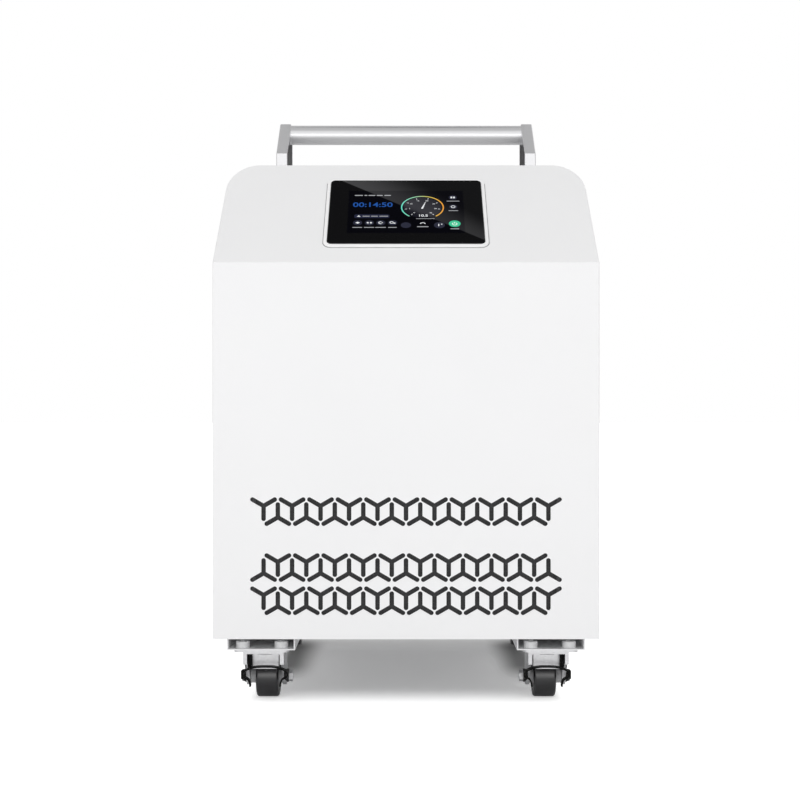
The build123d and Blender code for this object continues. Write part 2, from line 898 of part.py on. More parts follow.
def foot_places():
    y = compressor_y()
    return [
        (compressor_x + foot_reach * cos(radians(turn)), y + foot_reach * sin(radians(turn)))
        for turn in (90, 210, 330)
    ]


def compressor_stubs():
    """Ends of the discharge and the suction stubs."""
    y = compressor_y()
    z = compressor_top() + stub_length
    return (compressor_x, y - stub_offset, z), (compressor_x, y + stub_offset, z)


def build_compressor():
    x = compressor_x
    y = compressor_y()
    low = pan_top + mount_height
    top = compressor_top()
    can = rod(compressor_radius, (x, y, low), (x, y, top))
    can = fillet(can.edges().sort_by(Axis.Z)[-1], compressor_dome)
    middle = (low + top) / 2
    can += rod(compressor_radius + compressor_seam, (x, y, middle), (x, y, middle + compressor_seam))
    leg = Pos(foot_reach / 2, 0) * Rectangle(foot_reach, foot_width)
    leg += Pos(foot_reach, 0) * Circle(foot_width / 2)
    for place in foot_places():
        outward = Vector(place[0] - x, place[1] - y).normalized()
        can += extrude(Plane(origin=(x, y, low), x_dir=outward, z_dir=(0, 0, 1)) * leg, foot_thick)
    for place in foot_places():
        can -= rod(screw_head_radius + running_gap, (*place, low), (*place, low + foot_thick))
    for end_x, end_y, end_z in compressor_stubs():
        can += rod(suction_radius + 1, (end_x, end_y, top - compressor_dome), (end_x, end_y, end_z))
    return can


def build_compressor_mounts():
    """Rubber mounts with a collar above the compressor's foot."""
    mounts = []
    for x, y in foot_places():
        low = pan_top
        foot = low + mount_height
        mount = rod(mount_radius, (x, y, low), (x, y, foot))
        mount += rod(screw_head_radius, (x, y, foot), (x, y, foot + foot_thick))
        mount += rod(mount_radius * 0.8, (x, y, foot + foot_thick), (x, y, foot + foot_thick + 3))
        mounts.append(mount)
    return mounts


def barrel_y():
    return front_y + barrel_setback


def barrel_ports():
    """Ends of the refrigerant stubs (liquid, suction) on the chilling barrel's side."""
    x = circuit_x + barrel_radius + stub_length
    y = barrel_y()
    top = pan_top + barrel_height
    return (x, y, top - liquid_port_drop), (x, y, top - suction_port_drop)


def barrel_drain():
    """End of the barrel's drain stub, level with the drain valve."""
    x = circuit_x + barrel_radius + stub_length
    return x, barrel_y(), base_z + drain_up


def build_heat_exchanger():
    """Chilling barrel, closed, with water nipples and refrigerant stubs."""
    x = circuit_x
    y = barrel_y()
    top = pan_top + barrel_height
    barrel = rod(barrel_radius, (x, y, pan_top), (x, y, top))
    barrel += rod(barrel_cap_radius, (x, y, pan_top), (x, y, pan_top + barrel_cap_height))
    cap = rod(barrel_cap_radius, (x, y, top - barrel_cap_height), (x, y, top))
    barrel += fillet(cap.edges().sort_by(Axis.Z)[-1], 5)
    barrel += rod(nipple_radius, (x, y, top), (x, y, top + nipple_length))
    z = pump_outlet()[2]
    barrel += rod(nipple_radius, (x, y, z), (x, y + barrel_radius + nipple_length, z))
    for end_x, end_y, end_z in (*barrel_ports(), barrel_drain()):
        barrel += rod(suction_radius + 1, (x, end_y, end_z), (end_x, end_y, end_z))
    return barrel


def filter_ends():
    """Y of the canister's outlet nipple and of its inlet nipple."""
    closed = rear_inner - housing_length
    return closed + outlet_inset, rear_inner - inlet_inset


def pump_y():
    """The pump stands under the canister's outlet."""
    return filter_ends()[0]


def pump_outlet():
    """End of the pump's outlet nipple, which points at the barrel."""
    z = pan_top + pump_motor_height + volute_height / 2
    return (circuit_x, pump_y() - volute_radius - nipple_length, z)


def pump_top():
    return pan_top + pump_motor_height + volute_height


def chamber_floor():
    return pan_top + pump_motor_height + (volute_height - chamber_height) / 2


def build_water_pump():
    x = circuit_x
    y = pump_y()
    volute_low = pan_top + pump_motor_height
    pump = rod(pump_motor_radius, (x, y, pan_top), (x, y, volute_low))
    volute = rod(volute_radius, (x, y, volute_low), (x, y, pump_top()))
    pump += fillet(volute.edges().filter_by(GeomType.CIRCLE), 4)
    pump += rod(nipple_radius, (x, y, pump_top() - 4), (x, y, pump_top() + nipple_length))
    outlet = pump_outlet()
    pump += rod(nipple_radius, (x, y, outlet[2]), outlet)
    floor = chamber_floor()
    pump -= rod(chamber_radius, (x, y, floor), (x, y, floor + chamber_height))
    pump -= rod(hose_bore, (x, y, floor), (x, y, pump_top() + nipple_length + 1))
    pump -= rod(hose_bore, (x, y, outlet[2]), (x, outlet[1] - 1, outlet[2]))
    pump -= rod(impeller_shaft + running_gap, (x, y, floor - shaft_bore), (x, y, floor))
    return pump


def build_impeller():
    x = circuit_x
    y = pump_y()
    low = chamber_floor() + impeller_lift
    wheel = rod(impeller_radius, (x, y, low), (x, y, low + impeller_disc))
    for step in range(impeller_vanes):
        turn = step * 360 / impeller_vanes
        vane = Rectangle(impeller_radius - vane_inset, vane_thick)
        vane = Pos((impeller_radius + vane_inset) / 2 - vane_tip, 0) * Rot(0, 0, vane_turn) * vane
        plane = Plane(origin=(x, y, low + impeller_disc))
        wheel += extrude(plane * Rot(0, 0, turn) * vane, impeller_vane_height)
    return wheel + rod(impeller_shaft, (x, y, low - impeller_lift - impeller_tail), (x, y, low))


def build_filter_housing():
    """Canister hung from the rear panel, its neck reaching out through the panel."""
    x = circuit_x
    z = base_z + filter_up
    closed = rear_inner - housing_length
    housing = rod(housing_radius, (x, closed, z), (x, rear_inner, z))
    housing += rod(housing_flange_radius, (x, rear_inner - housing_flange, z), (x, rear_inner, z))
    housing += rod(neck_radius, (x, rear_inner, z), (x, rear_y + neck_reach, z))
    for y in filter_ends():
        housing += rod(nipple_radius, (x, y, z), (x, y, z - housing_radius - nipple_length))
    bore = neck_radius - housing_wall
    return housing - rod(bore, (x, closed + housing_wall, z), (x, rear_y + neck_reach + 1, z))


def build_filter_cartridge():
    x = circuit_x
    z = base_z + filter_up
    start = rear_inner - housing_length + housing_wall
    return tube(cartridge_radius, cartridge_core, (x, start, z), (x, start + cartridge_length, z))


def build_filter_cap():
    """Quarter-turn cap: its skirt runs over the canister's neck."""
    x = circuit_x
    z = base_z + filter_up
    seat = rear_y + neck_reach + side_gap
    outer = neck_radius + running_gap + cap_wall
    low = seat - cap_skirt
    cap = rod(outer, (x, low, z), (x, seat + cap_wall, z))
    cap = fillet(cap.edges().filter_by(GeomType.CIRCLE).sort_by(Axis.Y)[-1], 2)
    cap -= rod(neck_radius + running_gap, (x, low - 1, z), (x, seat, z))
    grip_y = (seat + cap_wall, seat + cap_wall + cap_grip)
    grip = slab((x - outer + 6, x + outer - 6), grip_y, (z - cap_grip_width / 2, z + cap_grip_width / 2))
    grip = fillet(grip.edges().filter_by(Axis.Z), 4)
    return cap + grip


def build_port(x):
    """Hose spigot with a flange outside the rear panel and a nut and nipple inside."""
    z = base_z + port_up
    inside = rear_inner - port_inside
    port = rod(spigot_radius, (x, rear_y, z), (x, rear_y + port_reach, z))
    port = chamfer(port.edges().filter_by(GeomType.CIRCLE).sort_by(Axis.Y)[-1], 1.5)
    port += hex_bar(2 * port_flange_radius, (x, rear_y, z), (x, rear_y + port_flange, z))
    port += rod(port_thread_radius, (x, rear_inner - 10, z), (x, rear_y, z))
    port += hex_bar(2 * port_flange_radius, (x, rear_inner - 6, z), (x, rear_inner, z))
    port += rod(nipple_radius, (x, inside, z), (x, rear_inner - 6, z))
    port -= rod(spigot_bore, (x, rear_y - 2, z), (x, rear_y + port_reach + 1, z))
    port -= rod(hose_bore, (x, inside - 1, z), (x, rear_y, z))
    return port


def build_hoses():
    """Inlet to canister, canister to pump, pump to barrel, barrel to outlet, barrel to drain."""
    x = circuit_x
    port_y = rear_inner - port_inside
    port_z = base_z + port_up
    out_y, in_y = filter_ends()
    canister_low = base_z + filter_up - housing_radius - nipple_length
    inlet = [(x, port_y, port_z), (x, in_y, port_z), (x, in_y, canister_low)]
    loop_z = base_z + filter_up + housing_radius + loop_clear
    back_y = port_y - 2 * hose_bend
    barrel_top = pan_top + barrel_height + nipple_length
    outlet = [(x, barrel_y(), barrel_top), (x, barrel_y(), loop_z)]
    outlet += [(port_x_out, out_y, loop_z), (port_x_out, back_y, loop_z)]
    outlet += [(port_x_out, back_y, port_z), (port_x_out, port_y, port_z)]
    drain_end = barrel_drain()
    drain_start = (drain_x, rear_inner - drain_inside, drain_end[2])
    drain = [drain_start, (drain_x, drain_end[1], drain_end[2]), drain_end]
    pump_nipple = (x, out_y, pump_top() + nipple_length)
    barrel_nipple = (x, barrel_y() + barrel_radius + nipple_length, pump_outlet()[2])
    return [
        bent_tube(inlet, hose_radius, hose_bore, hose_bend),
        bent_tube(outlet, hose_radius, hose_bore, hose_bend),
        bent_tube(drain, drain_hose_radius, drain_bore, drain_hose_bend),
        tube(hose_radius, hose_bore, pump_nipple, (x, out_y, canister_low)),
        tube(hose_radius, hose_bore, pump_outlet(), barrel_nipple),
    ]


def drier_ends():
    """Lower and upper end of the drier, necks included, above the condenser's outlet."""
    x, y, z = condenser_out()
    low = z + drier_gap
    return (x, y, low), (x, y, low + drier_length + 2 * drier_neck)


def build_filter_drier():
    low, high = drier_ends()
    x, y, z = low
    body = rod(drier_radius, (x, y, z + drier_neck), (x, y, high[2] - drier_neck))
    body = fillet(body.edges().filter_by(GeomType.CIRCLE), drier_radius / 3)
    return body + rod(pipe_radius, low, high)


def build_pipes():
    """Discharge, liquid and suction lines of the refrigerant."""
    discharge, suction = compressor_stubs()
    inlet = condenser_in()
    high = max(discharge[2], inlet[2]) + pipe_rise
    hot = [discharge, (discharge[0], discharge[1], high), (inlet[0], inlet[1], high), inlet]
    liquid_port, suction_port = barrel_ports()
    low_end, high_end = drier_ends()
    level = high_end[2] + pipe_rise
    turn_x = high_end[0]
    liquid = [high_end, (turn_x, high_end[1], level), (turn_x, liquid_port[1], level)]
    liquid += [(turn_x, liquid_port[1], liquid_port[2]), liquid_port]
    cold = [suction_port, (suction_port[0] + pipe_rise, suction_port[1], suction_port[2])]
    cold += [(suction[0], suction[1], suction_port[2] + stub_length), suction]
    return [
        bent_tube(hot, pipe_radius, pipe_bore, pipe_bend),
        bent_tube(liquid, pipe_radius, pipe_bore, pipe_bend),
        bent_tube(cold, suction_radius, suction_bore, pipe_bend),
        tube(pipe_radius, pipe_bore, condenser_out(), low_end),
    ]


def build_fan_frame():
    """Square frame on the rear panel's inner face, with arms that carry the motor."""
    x, z = fan_centre
    half = fan_frame_side / 2
    y = (rear_inner - fan_frame_depth, rear_inner)
    frame = slab((x - half, x + half), y, (z - half, z + half))
    frame = fillet(frame.edges().filter_by(Axis.Y), fan_frame_corner)
    frame -= rod(fan_rotor_radius + fan_tip_gap, (x, y[0] - 1, z), (x, y[1] + 1, z))
    plane = Plane(origin=(x, y[0], z), z_dir=(0, 1, 0))
    arms = Circle(fan_motor_radius + fan_spider_thick)
    reach = fan_rotor_radius + fan_tip_gap + 1
    for step in range(fan_spider):
        turn = 360 * (step + 0.5) / fan_spider
        arms += Rot(0, 0, turn) * Pos(reach / 2, 0) * Rectangle(reach, fan_spider_width)
    arms -= Circle(fan_shaft_radius + side_gap)
    frame += extrude(plane * arms, fan_spider_thick)
    for lug_x, lug_z in guard_lugs:
        tip = y[1] - screw_length - 1
        frame -= rod(screw_radius + screw_gap, (lug_x, tip, lug_z), (lug_x, y[1] + 1, lug_z))
    return frame


def build_fan_motor():
    x, z = fan_centre
    front = rear_inner - fan_frame_depth
    motor = rod(fan_motor_radius, (x, front - fan_motor_length, z), (x, front, z))
    motor = fillet(motor.edges().filter_by(GeomType.CIRCLE).sort_by(Axis.Y)[0], 5)
    return motor - rod(fan_shaft_radius + running_gap, (x, front - fan_motor_length / 2, z), (x, front, z))


def build_fan_rotor():
    x, z = fan_centre
    front = rear_inner - fan_frame_depth
    hub_low = front + fan_spider_thick + 1
    hub_high = hub_low + fan_hub_depth - 2
    rotor = rod(fan_hub_radius, (0, hub_low, 0), (0, hub_high, 0))
    rotor = fillet(rotor.edges().filter_by(GeomType.CIRCLE).sort_by(Axis.Y)[-1], 4)
    middle = (hub_low + hub_high) / 2
    root = Plane(origin=(fan_hub_radius - 4, middle, 0), x_dir=(0, 0, 1), z_dir=(1, 0, 0))
    tip = Plane(origin=(fan_rotor_radius - 2, middle, 0), x_dir=(0, 0, 1), z_dir=(1, 0, 0))
    root_chord = root * Rot(0, 0, fan_root_pitch) * Rectangle(fan_root_chord, fan_blade_thick)
    tip_chord = tip * Rot(0, 0, fan_tip_pitch) * Rectangle(fan_tip_chord, fan_blade_thick)
    blade = loft([root_chord, tip_chord], ruled=True)
    rotor += [Rot(0, 360 * step / fan_blades, 0) * blade for step in range(fan_blades)]
    shaft_end = front - fan_motor_length / 2 + 1
    rotor += rod(fan_shaft_radius, (0, shaft_end, 0), (0, hub_low, 0))
    return Pos(x, 0, z) * rotor


def build_fan_guard():
    """Finger guard: rings and spokes around a solid middle, with four screwed lugs."""
    x, z = fan_centre
    thick = 2 * guard_wire
    outer = fan_rotor_radius + fan_tip_gap
    shapes = [Circle(outer / guard_rings)]
    for ring in range(2, guard_rings + 1):
        radius = outer * ring / guard_rings
        shapes.append(Circle(radius + guard_wire) - Circle(radius - guard_wire))
    for step in range(guard_spokes):
        spoke = Pos(outer / 2, 0) * Rectangle(outer, thick)
        shapes.append(Rot(0, 0, 360 * step / guard_spokes) * spoke)
    for lug_x, lug_z in guard_lugs:
        lug = Circle(guard_lug_radius) - Circle(screw_radius + screw_gap)
        shapes.append(Pos(lug_x - x, lug_z - z) * lug)
    outline = Sketch() + shapes
    plane = Plane(origin=(x, rear_y, z), x_dir=(1, 0, 0), z_dir=(0, -1, 0))
    return extrude(plane * outline, -thick)


def drain_stem_place():
    """X and Y of the lever's stem, and Z of the valve's top."""
    return drain_x, rear_y + drain_reach / 2, base_z + drain_up + drain_radius + drain_stem


def build_drain_valve():
    z = base_z + drain_up
    inside = rear_inner - drain_inside
    valve = rod(drain_radius, (drain_x, rear_inner - 6, z), (drain_x, rear_y + drain_reach, z))
    valve += rod(drain_hose_radius, (drain_x, inside, z), (drain_x, rear_inner, z))
    for low, high in ((rear_y, rear_y + 4), (rear_inner - 5, rear_inner)):
        valve += hex_bar(2 * drain_flange_radius, (drain_x, low, z), (drain_x, high, z))
    stem_x, stem_y, top = drain_stem_place()
    valve += rod(2 * drain_stem_radius, (stem_x, stem_y, z), (stem_x, stem_y, top))
    valve -= rod(drain_stem_radius + running_gap, (stem_x, stem_y, top - drain_stem), (stem_x, stem_y, top))
    valve -= rod(drain_bore, (drain_x, stem_y + drain_bore, z), (drain_x, rear_y + drain_reach + 1, z))
    return valve


def build_drain_lever():
    """Closed across the pipe; a quarter turn brings it in line."""
    x, y, top = drain_stem_place()
    low = top + side_gap
    arm = Pos(drain_lever_length / 2, 0) * SlotCenterToCenter(drain_lever_length, drain_lever_width)
    lever = Pos(x, y, low) * extrude(arm, drain_lever_thick)
    lever = fillet(lever.edges().group_by(Axis.Z)[-1], drain_lever_thick / 4)
    return lever + rod(drain_stem_radius, (x, y, top - drain_stem + side_gap), (x, y, low))


def build_power_inlet():
    """Mains inlet: flange, body, open socket and three pins."""
    x = inlet_x
    z = base_z + inlet_up
    front = rear_y + inlet_flange
    half_x = inlet_width / 2
    half_z = inlet_height / 2
    inlet = slab((x - half_x, x + half_x), (rear_y - inlet_depth, rear_y), (z - half_z, z + half_z))
    flange_x = inlet_flange_width / 2
    flange_z = inlet_flange_height / 2
    flange = slab((x - flange_x, x + flange_x), (rear_y, front), (z - flange_z, z + flange_z))
    inlet += fillet(flange.edges().filter_by(Axis.Y), 6)
    socket_x = socket_width / 2
    socket_z = socket_height / 2
    floor = front - socket_depth
    socket = slab((x - socket_x, x + socket_x), (floor, front), (z - socket_z, z + socket_z))
    inlet -= chamfer(socket.edges().filter_by(Axis.Y).group_by(Axis.Z)[-1], 4)
    for offset, rise in ((-1, -1), (0, 1), (1, -1)):
        pin_x = x + offset * pin_spread
        pin_z = z + rise * pin_height / 2
        pin_box = ((pin_x - pin_width / 2, pin_x + pin_width / 2), (floor, floor + pin_length))
        inlet += slab(*pin_box, (pin_z - pin_height / 2, pin_z + pin_height / 2))
    return inlet


def switch_cavity():
    """Half width and half height of the hollow that the rocker sits in."""
    return switch_width / 2 - switch_wall, switch_height / 2 - switch_wall


def switch_pivot():
    return switch_x, rear_y - 1, base_z + switch_up


def build_switch_frame():
    x, pivot_y, z = switch_pivot()
    half_x = switch_width / 2
    half_z = switch_height / 2
    body_y = (rear_y - switch_depth, rear_y)
    frame = slab((x - half_x, x + half_x), body_y, (z - half_z, z + half_z))
    rim_x = half_x + switch_rim
    rim_z = half_z + switch_rim
    rim = slab((x - rim_x, x + rim_x), (rear_y, rear_y + switch_flange), (z - rim_z, z + rim_z))
    rim = fillet(rim.edges().filter_by(Axis.Y), 1.5)
    frame += chamfer(rim.faces().sort_by(Axis.Y)[-1].outer_wire().edges(), 0.6)
    cavity_x, cavity_z = switch_cavity()
    floor = rear_y - switch_depth + switch_wall
    cavity_y = (floor, rear_y + switch_flange)
    frame -= slab((x - cavity_x, x + cavity_x), cavity_y, (z - cavity_z, z + cavity_z))
    return frame - rod(trunnion_radius + running_gap, (x - half_x, pivot_y, z), (x + half_x, pivot_y, z))


def build_rocker():
    """Shallow V rocker on two trunnions, tilted to its off side."""
    x, pivot_y, z = switch_pivot()
    cavity_x, cavity_z = switch_cavity()
    half_x = cavity_x - rocker_gap
    half_z = cavity_z - 2 * rocker_gap
    crest = rocker_proud
    points = [(-rocker_deep, -half_z / 2), (-rocker_deep, half_z / 2), (crest / 2, half_z), (crest, half_z)]
    points += [(crest / 4, 0), (crest, -half_z), (crest / 2, -half_z)]
    rocker = side_profile(points, -half_x, half_x)
    reach = cavity_x + switch_wall / 2
    rocker += rod(trunnion_radius, (-reach, 0, 0), (reach, 0, 0))
    return Pos(x, pivot_y, z) * Rot(-rocker_tilt, 0, 0) * rocker


def write_cabinet():
    write("base_pan", build_base_pan())
    write("frame_posts", group(build_posts()))
    write("support_rails", group(build_rails()))
    write("front_panel", build_front_panel())
    write("dust_filter", build_dust_filter())
    write("side_panel_left", build_side_panel(-1))
    write("side_panel_right", build_side_panel(1))
    write("rear_panel", build_rear_panel())
    write("hood", build_hood())
    write("screws", group(build_screws()))


def write_handle():
    write("handle_bracket_left", build_bracket(-1))
    write("handle_bracket_right", build_bracket(1))
    write("handle_tube", build_handle_tube())


def write_screen():
    write("screen_bezel", build_bezel())
    write("screen_glass", build_glass())
    write("display_module", build_display())
    write("control_board", build_control_board())


def write_refrigeration():
    write("compressor", build_compressor())
    write("compressor_mounts", group(build_compressor_mounts()))
    write("condenser", build_condenser())
    write("filter_drier", build_filter_drier())
    write("refrigerant_pipes", group(build_pipes()))
    write("heat_exchanger", build_heat_exchanger())


def write_fan():
    write("fan_frame", build_fan_frame())
    write("fan_motor", build_fan_motor())
    write("fan_rotor", build_fan_rotor())
    write("fan_guard", build_fan_guard())


def write_water_circuit():
    write("water_pump", build_water_pump())
    write("pump_impeller", build_impeller())
    write("filter_housing", build_filter_housing())
    write("filter_cartridge", build_filter_cartridge())
    write("filter_cap", build_filter_cap())
    write("water_inlet", build_port(circuit_x))
    write("water_outlet", build_port(port_x_out))
    write("water_hoses", group(build_hoses()))
    write("drain_valve", build_drain_valve())
    write("drain_lever", build_drain_lever())


def write_mains():
    write("power_inlet", build_power_inlet())
    write("switch_frame", build_switch_frame())
    write("rocker_switch", build_rocker())


def write_casters():
    plates = []
    fasteners = []
    for corner, side, end in (("fl", -1, -1), ("fr", 1, -1), ("rl", -1, 1), ("rr", 1, 1)):
        x = side * caster_centre
        y = caster_y(end)
        braked = end < 0
        plates.append(build_caster_plate(x, y))
        fasteners += build_caster_fasteners(x, y)
        write(f"fork_{corner}", build_fork(x, y))
        write(f"axle_{corner}", build_axle(x, y, braked, -side))
        write(f"wheel_{corner}", build_hub(x, y))
        write(f"tyre_{corner}", build_tyre(x, y))
        if braked:
            write(f"brake_pedal_{corner}", build_pedal(x, y))
    write("caster_plates", group(plates))
    write("caster_fasteners", group(fasteners))


os.makedirs("parts", exist_ok=True)
write_cabinet()
write_handle()
write_screen()
write_refrigeration()
write_fan()
write_water_circuit()
write_mains()
write_casters()
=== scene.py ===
"""Looks of an ice bath chiller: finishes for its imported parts, the pieces that are finer than
those parts, and the stage it stands on.

Metres. +Z up, the screen faces -Y, +X is to the right seen from the front.
"""

import json
import math
from functools import partial

import bmesh
import bpy
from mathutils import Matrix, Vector


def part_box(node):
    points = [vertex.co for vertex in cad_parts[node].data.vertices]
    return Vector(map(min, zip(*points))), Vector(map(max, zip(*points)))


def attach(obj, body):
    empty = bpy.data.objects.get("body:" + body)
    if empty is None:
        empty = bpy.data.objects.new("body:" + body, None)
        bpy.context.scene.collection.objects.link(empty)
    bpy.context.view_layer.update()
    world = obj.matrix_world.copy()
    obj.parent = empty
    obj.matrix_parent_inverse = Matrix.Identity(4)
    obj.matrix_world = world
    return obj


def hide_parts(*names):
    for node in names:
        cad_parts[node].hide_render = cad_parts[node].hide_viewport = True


bl_info = {
    "name": "Ice bath chiller",
    "version": (1, 0, 0),
    "blender": (4, 5, 0),
    "location": "3D View > Sidebar > Chiller",
    "description": "Finishes, fine pieces and stage for the chiller's packed parts",
    "category": "Object",
}

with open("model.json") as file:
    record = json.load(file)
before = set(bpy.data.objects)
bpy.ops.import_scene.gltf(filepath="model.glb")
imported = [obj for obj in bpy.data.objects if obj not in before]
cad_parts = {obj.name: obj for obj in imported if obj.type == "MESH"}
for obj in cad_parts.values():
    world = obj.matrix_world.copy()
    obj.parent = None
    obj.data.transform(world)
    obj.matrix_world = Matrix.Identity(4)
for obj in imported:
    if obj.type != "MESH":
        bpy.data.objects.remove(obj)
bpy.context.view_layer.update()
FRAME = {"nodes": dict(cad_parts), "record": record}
MM = 0.001

COLOUR = {entry["slot"]: entry["base_color"] for entry in FRAME["record"]["materials"]}
SLOT_OF = {entry["node"]: entry["material_slot"] for entry in FRAME["record"]["subparts"]}
GLASS_BLACK = (0.0045, 0.0045, 0.005)
PAGE_BLACK = (0.0012, 0.0012, 0.003)

# The screen glass lies on the hood's slope.
SLOPE = math.radians(39.7)
RIGHT = Vector((1, 0, 0))
UP_SLOPE = Vector((0, math.cos(SLOPE), math.sin(SLOPE)))
OUT = Vector((0, -math.sin(SLOPE), math.cos(SLOPE)))


def colour_setting(name, description, default):
    """A colour property; its default is a colour or a material slot of the record."""
    default = COLOUR[default] if isinstance(default, str) else default
    return bpy.props.FloatVectorProperty(
        name=name, description=description, subtype="COLOR", size=3, min=0, max=1, default=default
    )


def length_setting(name, description, millimetres):
    return bpy.props.FloatProperty(
        name=name, description=description, unit="LENGTH", min=0, precision=4, default=millimetres * MM
    )


class ChillerColours(bpy.types.PropertyGroup):
    paint: colour_setting("Cabinet paint", "Powder coat on the panels, hood and rails", "white_paint")
    aluminium: colour_setting("Carrying bar", "Satin aluminium, bar and brackets", "satin_aluminium")
    zinc: colour_setting("Zinc plate", "Plated caster parts, bolts and screws", "zinc")
    bezel: colour_setting("Screen frame", "Plastic frame around the glass", "white_plastic")
    glass: colour_setting("Screen glass", "Black print behind the cover glass", GLASS_BLACK)
    page: colour_setting("Lit page", "Black of the display's lit area", PAGE_BLACK)
    tyre: colour_setting("Tyre", "Rubber of the caster tyres", "tyre")


class ChillerSizes(bpy.types.PropertyGroup):
    mark_rise: length_setting("Mark rise", "How far the lit marks stand off the glass", 0.06)
    guard_wire: length_setting("Guard wire", "Radius of the fan guard's wires", 1.1)
    # Width of the grey ring of painted shade that draws the shadow line around the screen's frame
    shade_ring_width: length_setting("Shade ring width", "How far the shade ring shows around the screen's frame", 0.9)
    # Thickness of the black block of painted shade inside each fork
    block_thick: length_setting("Shade block", "Thickness of the block inside each fork", 5.0)
    paint_grain: length_setting("Paint grain", "Width of one dimple of the powder coat", 1.3)
    brush_line: length_setting("Brush line", "Width of one line in the brushed aluminium", 0.35)


def colours():
    return bpy.context.scene.chiller_colours


def sizes():
    return bpy.context.scene.chiller_sizes


class Value:
    """One output of a node. Python's operators on it add Math nodes."""

    def __init__(self, finish, socket):
        self.finish = finish
        self.socket = socket

    def maths(self, operation, first, second):
        return self.finish.maths(operation, first, second)

    def __add__(self, other):
        return self.maths("ADD", self, other)

    def __sub__(self, other):
        return self.maths("SUBTRACT", self, other)

    def __rsub__(self, other):
        return self.maths("SUBTRACT", other, self)

    def __mul__(self, other):
        return self.maths("MULTIPLY", self, other)

    def __truediv__(self, other):
        return self.maths("DIVIDE", self, other)

    def __pow__(self, other):
        return self.maths("POWER", self, other)

    __radd__ = __add__
    __rmul__ = __mul__


class Finish:
    """A material: nodes around one Principled shader."""

    def __init__(self, name, **settings):
        self.material = bpy.data.materials.new(name)
        self.material.use_nodes = True
        self.tree = self.material.node_tree
        self.tree.nodes.clear()
        self.output = self.tree.nodes.new("ShaderNodeOutputMaterial")
        self.shader = self.tree.nodes.new("ShaderNodeBsdfPrincipled")
        self.tree.links.new(self.shader.outputs[0], self.output.inputs[0])
        self.place = self.node("ShaderNodeTexCoord", output="Object")
        self.set(**settings)

    def connect(self, node, key, value):
        if isinstance(value, Value):
            self.tree.links.new(value.socket, node.inputs[key])
        else:
            node.inputs[key].default_value = value

    def node(self, kind, settings=None, values=None, output=0):
        """Adds a node: its settings first, then the values or links of its sockets."""
        node = self.tree.nodes.new(kind)
        for key, setting in (settings or {}).items():
            if key == "stops":
                ramp = node.color_ramp
                for place, colour in setting[2:]:
                    ramp.elements.new(place)
                for element, (place, colour) in zip(ramp.elements, sorted(setting)):
                    element.position = place
                    element.color = (*colour, 1)
            else:
                setattr(node, key, setting)
        for key, value in (values or {}).items():
            self.connect(node, key, value)
        return Value(self, node.outputs[output])

    def set(self, **settings):
        """Sets or links the shader's own sockets: base_color=..., roughness=..."""
        for key, value in settings.items():
            name = key.replace("_", " ").title().replace("Ior", "IOR")
            if not isinstance(value, Value) and hasattr(value, "__len__") and len(value) == 3:
                value = (*value, 1)
            self.connect(self.shader, name, value)

    def maths(self, operation, first, second=0.0):
        return self.node("ShaderNodeMath", {"operation": operation}, {0: first, 1: second})

    def rising(self, amount, low, high):
        """0 below low, 1 above high and a smooth rise between."""
        values = {"Value": amount, "From Min": low, "From Max": high}
        return self.node("ShaderNodeMapRange", {"interpolation_type": "SMOOTHSTEP"}, values)

    def stretched(self, stretch):
        return self.node("ShaderNodeVectorMath", {"operation": "MULTIPLY"}, {0: self.place, 1: stretch})

    def noise(self, width, detail=2.0, stretch=None):
        """Soft noise, 0 to 1, with features of about that width in metres."""
        place = self.stretched(stretch) if stretch else self.place
        return self.node("ShaderNodeTexNoise", None, {"Vector": place, "Scale": 1 / width, "Detail": detail})

    def cells(self, width, feature="F1"):
        settings = {"feature": feature}
        return self.node("ShaderNodeTexVoronoi", settings, {"Vector": self.place, "Scale": 1 / width})

    def waves(self, width, direction):
        settings = {"wave_type": "BANDS", "bands_direction": direction, "wave_profile": "SIN"}
        return self.node("ShaderNodeTexWave", settings, {"Vector": self.place, "Scale": 0.314 / width})

    def blend(self, amount, low, high):
        """Mixes two colours by an amount, 0 to 1."""
        ends = [(*c, 1) if not isinstance(c, Value) else c for c in (low, high)]
        return self.node("ShaderNodeMix", {"data_type": "RGBA"}, {0: amount, 6: ends[0], 7: ends[1]}, 2)

    def ramp(self, amount, stops):
        return self.node("ShaderNodeValToRGB", {"stops": stops}, {0: amount})

    def bump(self, height, distance, strength=1.0):
        values = {"Height": height, "Distance": distance, "Strength": strength}
        self.set(normal=self.node("ShaderNodeBump", None, values))


def shade(colour, factor):
    return tuple(min(1.0, part * factor) for part in colour)


def powder_coat(name, colour):
    """Semi-gloss powder coat: fine dimples and a trace of unevenness."""
    finish = Finish(name)
    cloud = finish.noise(0.12)
    dimples = finish.noise(sizes().paint_grain, 1.0)
    finish.set(
        base_color=finish.blend(cloud, shade(colour, 0.985), shade(colour, 1.01)),
        roughness=0.40 + finish.noise(0.02) * 0.06,
    )
    finish.bump(dimples, 0.00004)
    return finish


def satin_metal(name, colour, stretch, roughness=0.3, depth=0.00002):
    """Brushed, anodised aluminium with lines along its length."""
    finish = Finish(name, metallic=1.0)
    lines = finish.noise(sizes().brush_line, 3.0, stretch)
    cloud = finish.noise(0.03)
    finish.set(
        base_color=finish.blend(lines * 0.6 + cloud * 0.4, shade(colour, 0.94), shade(colour, 1.05)),
        roughness=roughness - 0.05 + lines * 0.1,
    )
    finish.bump(lines, depth, 0.6)
    return finish


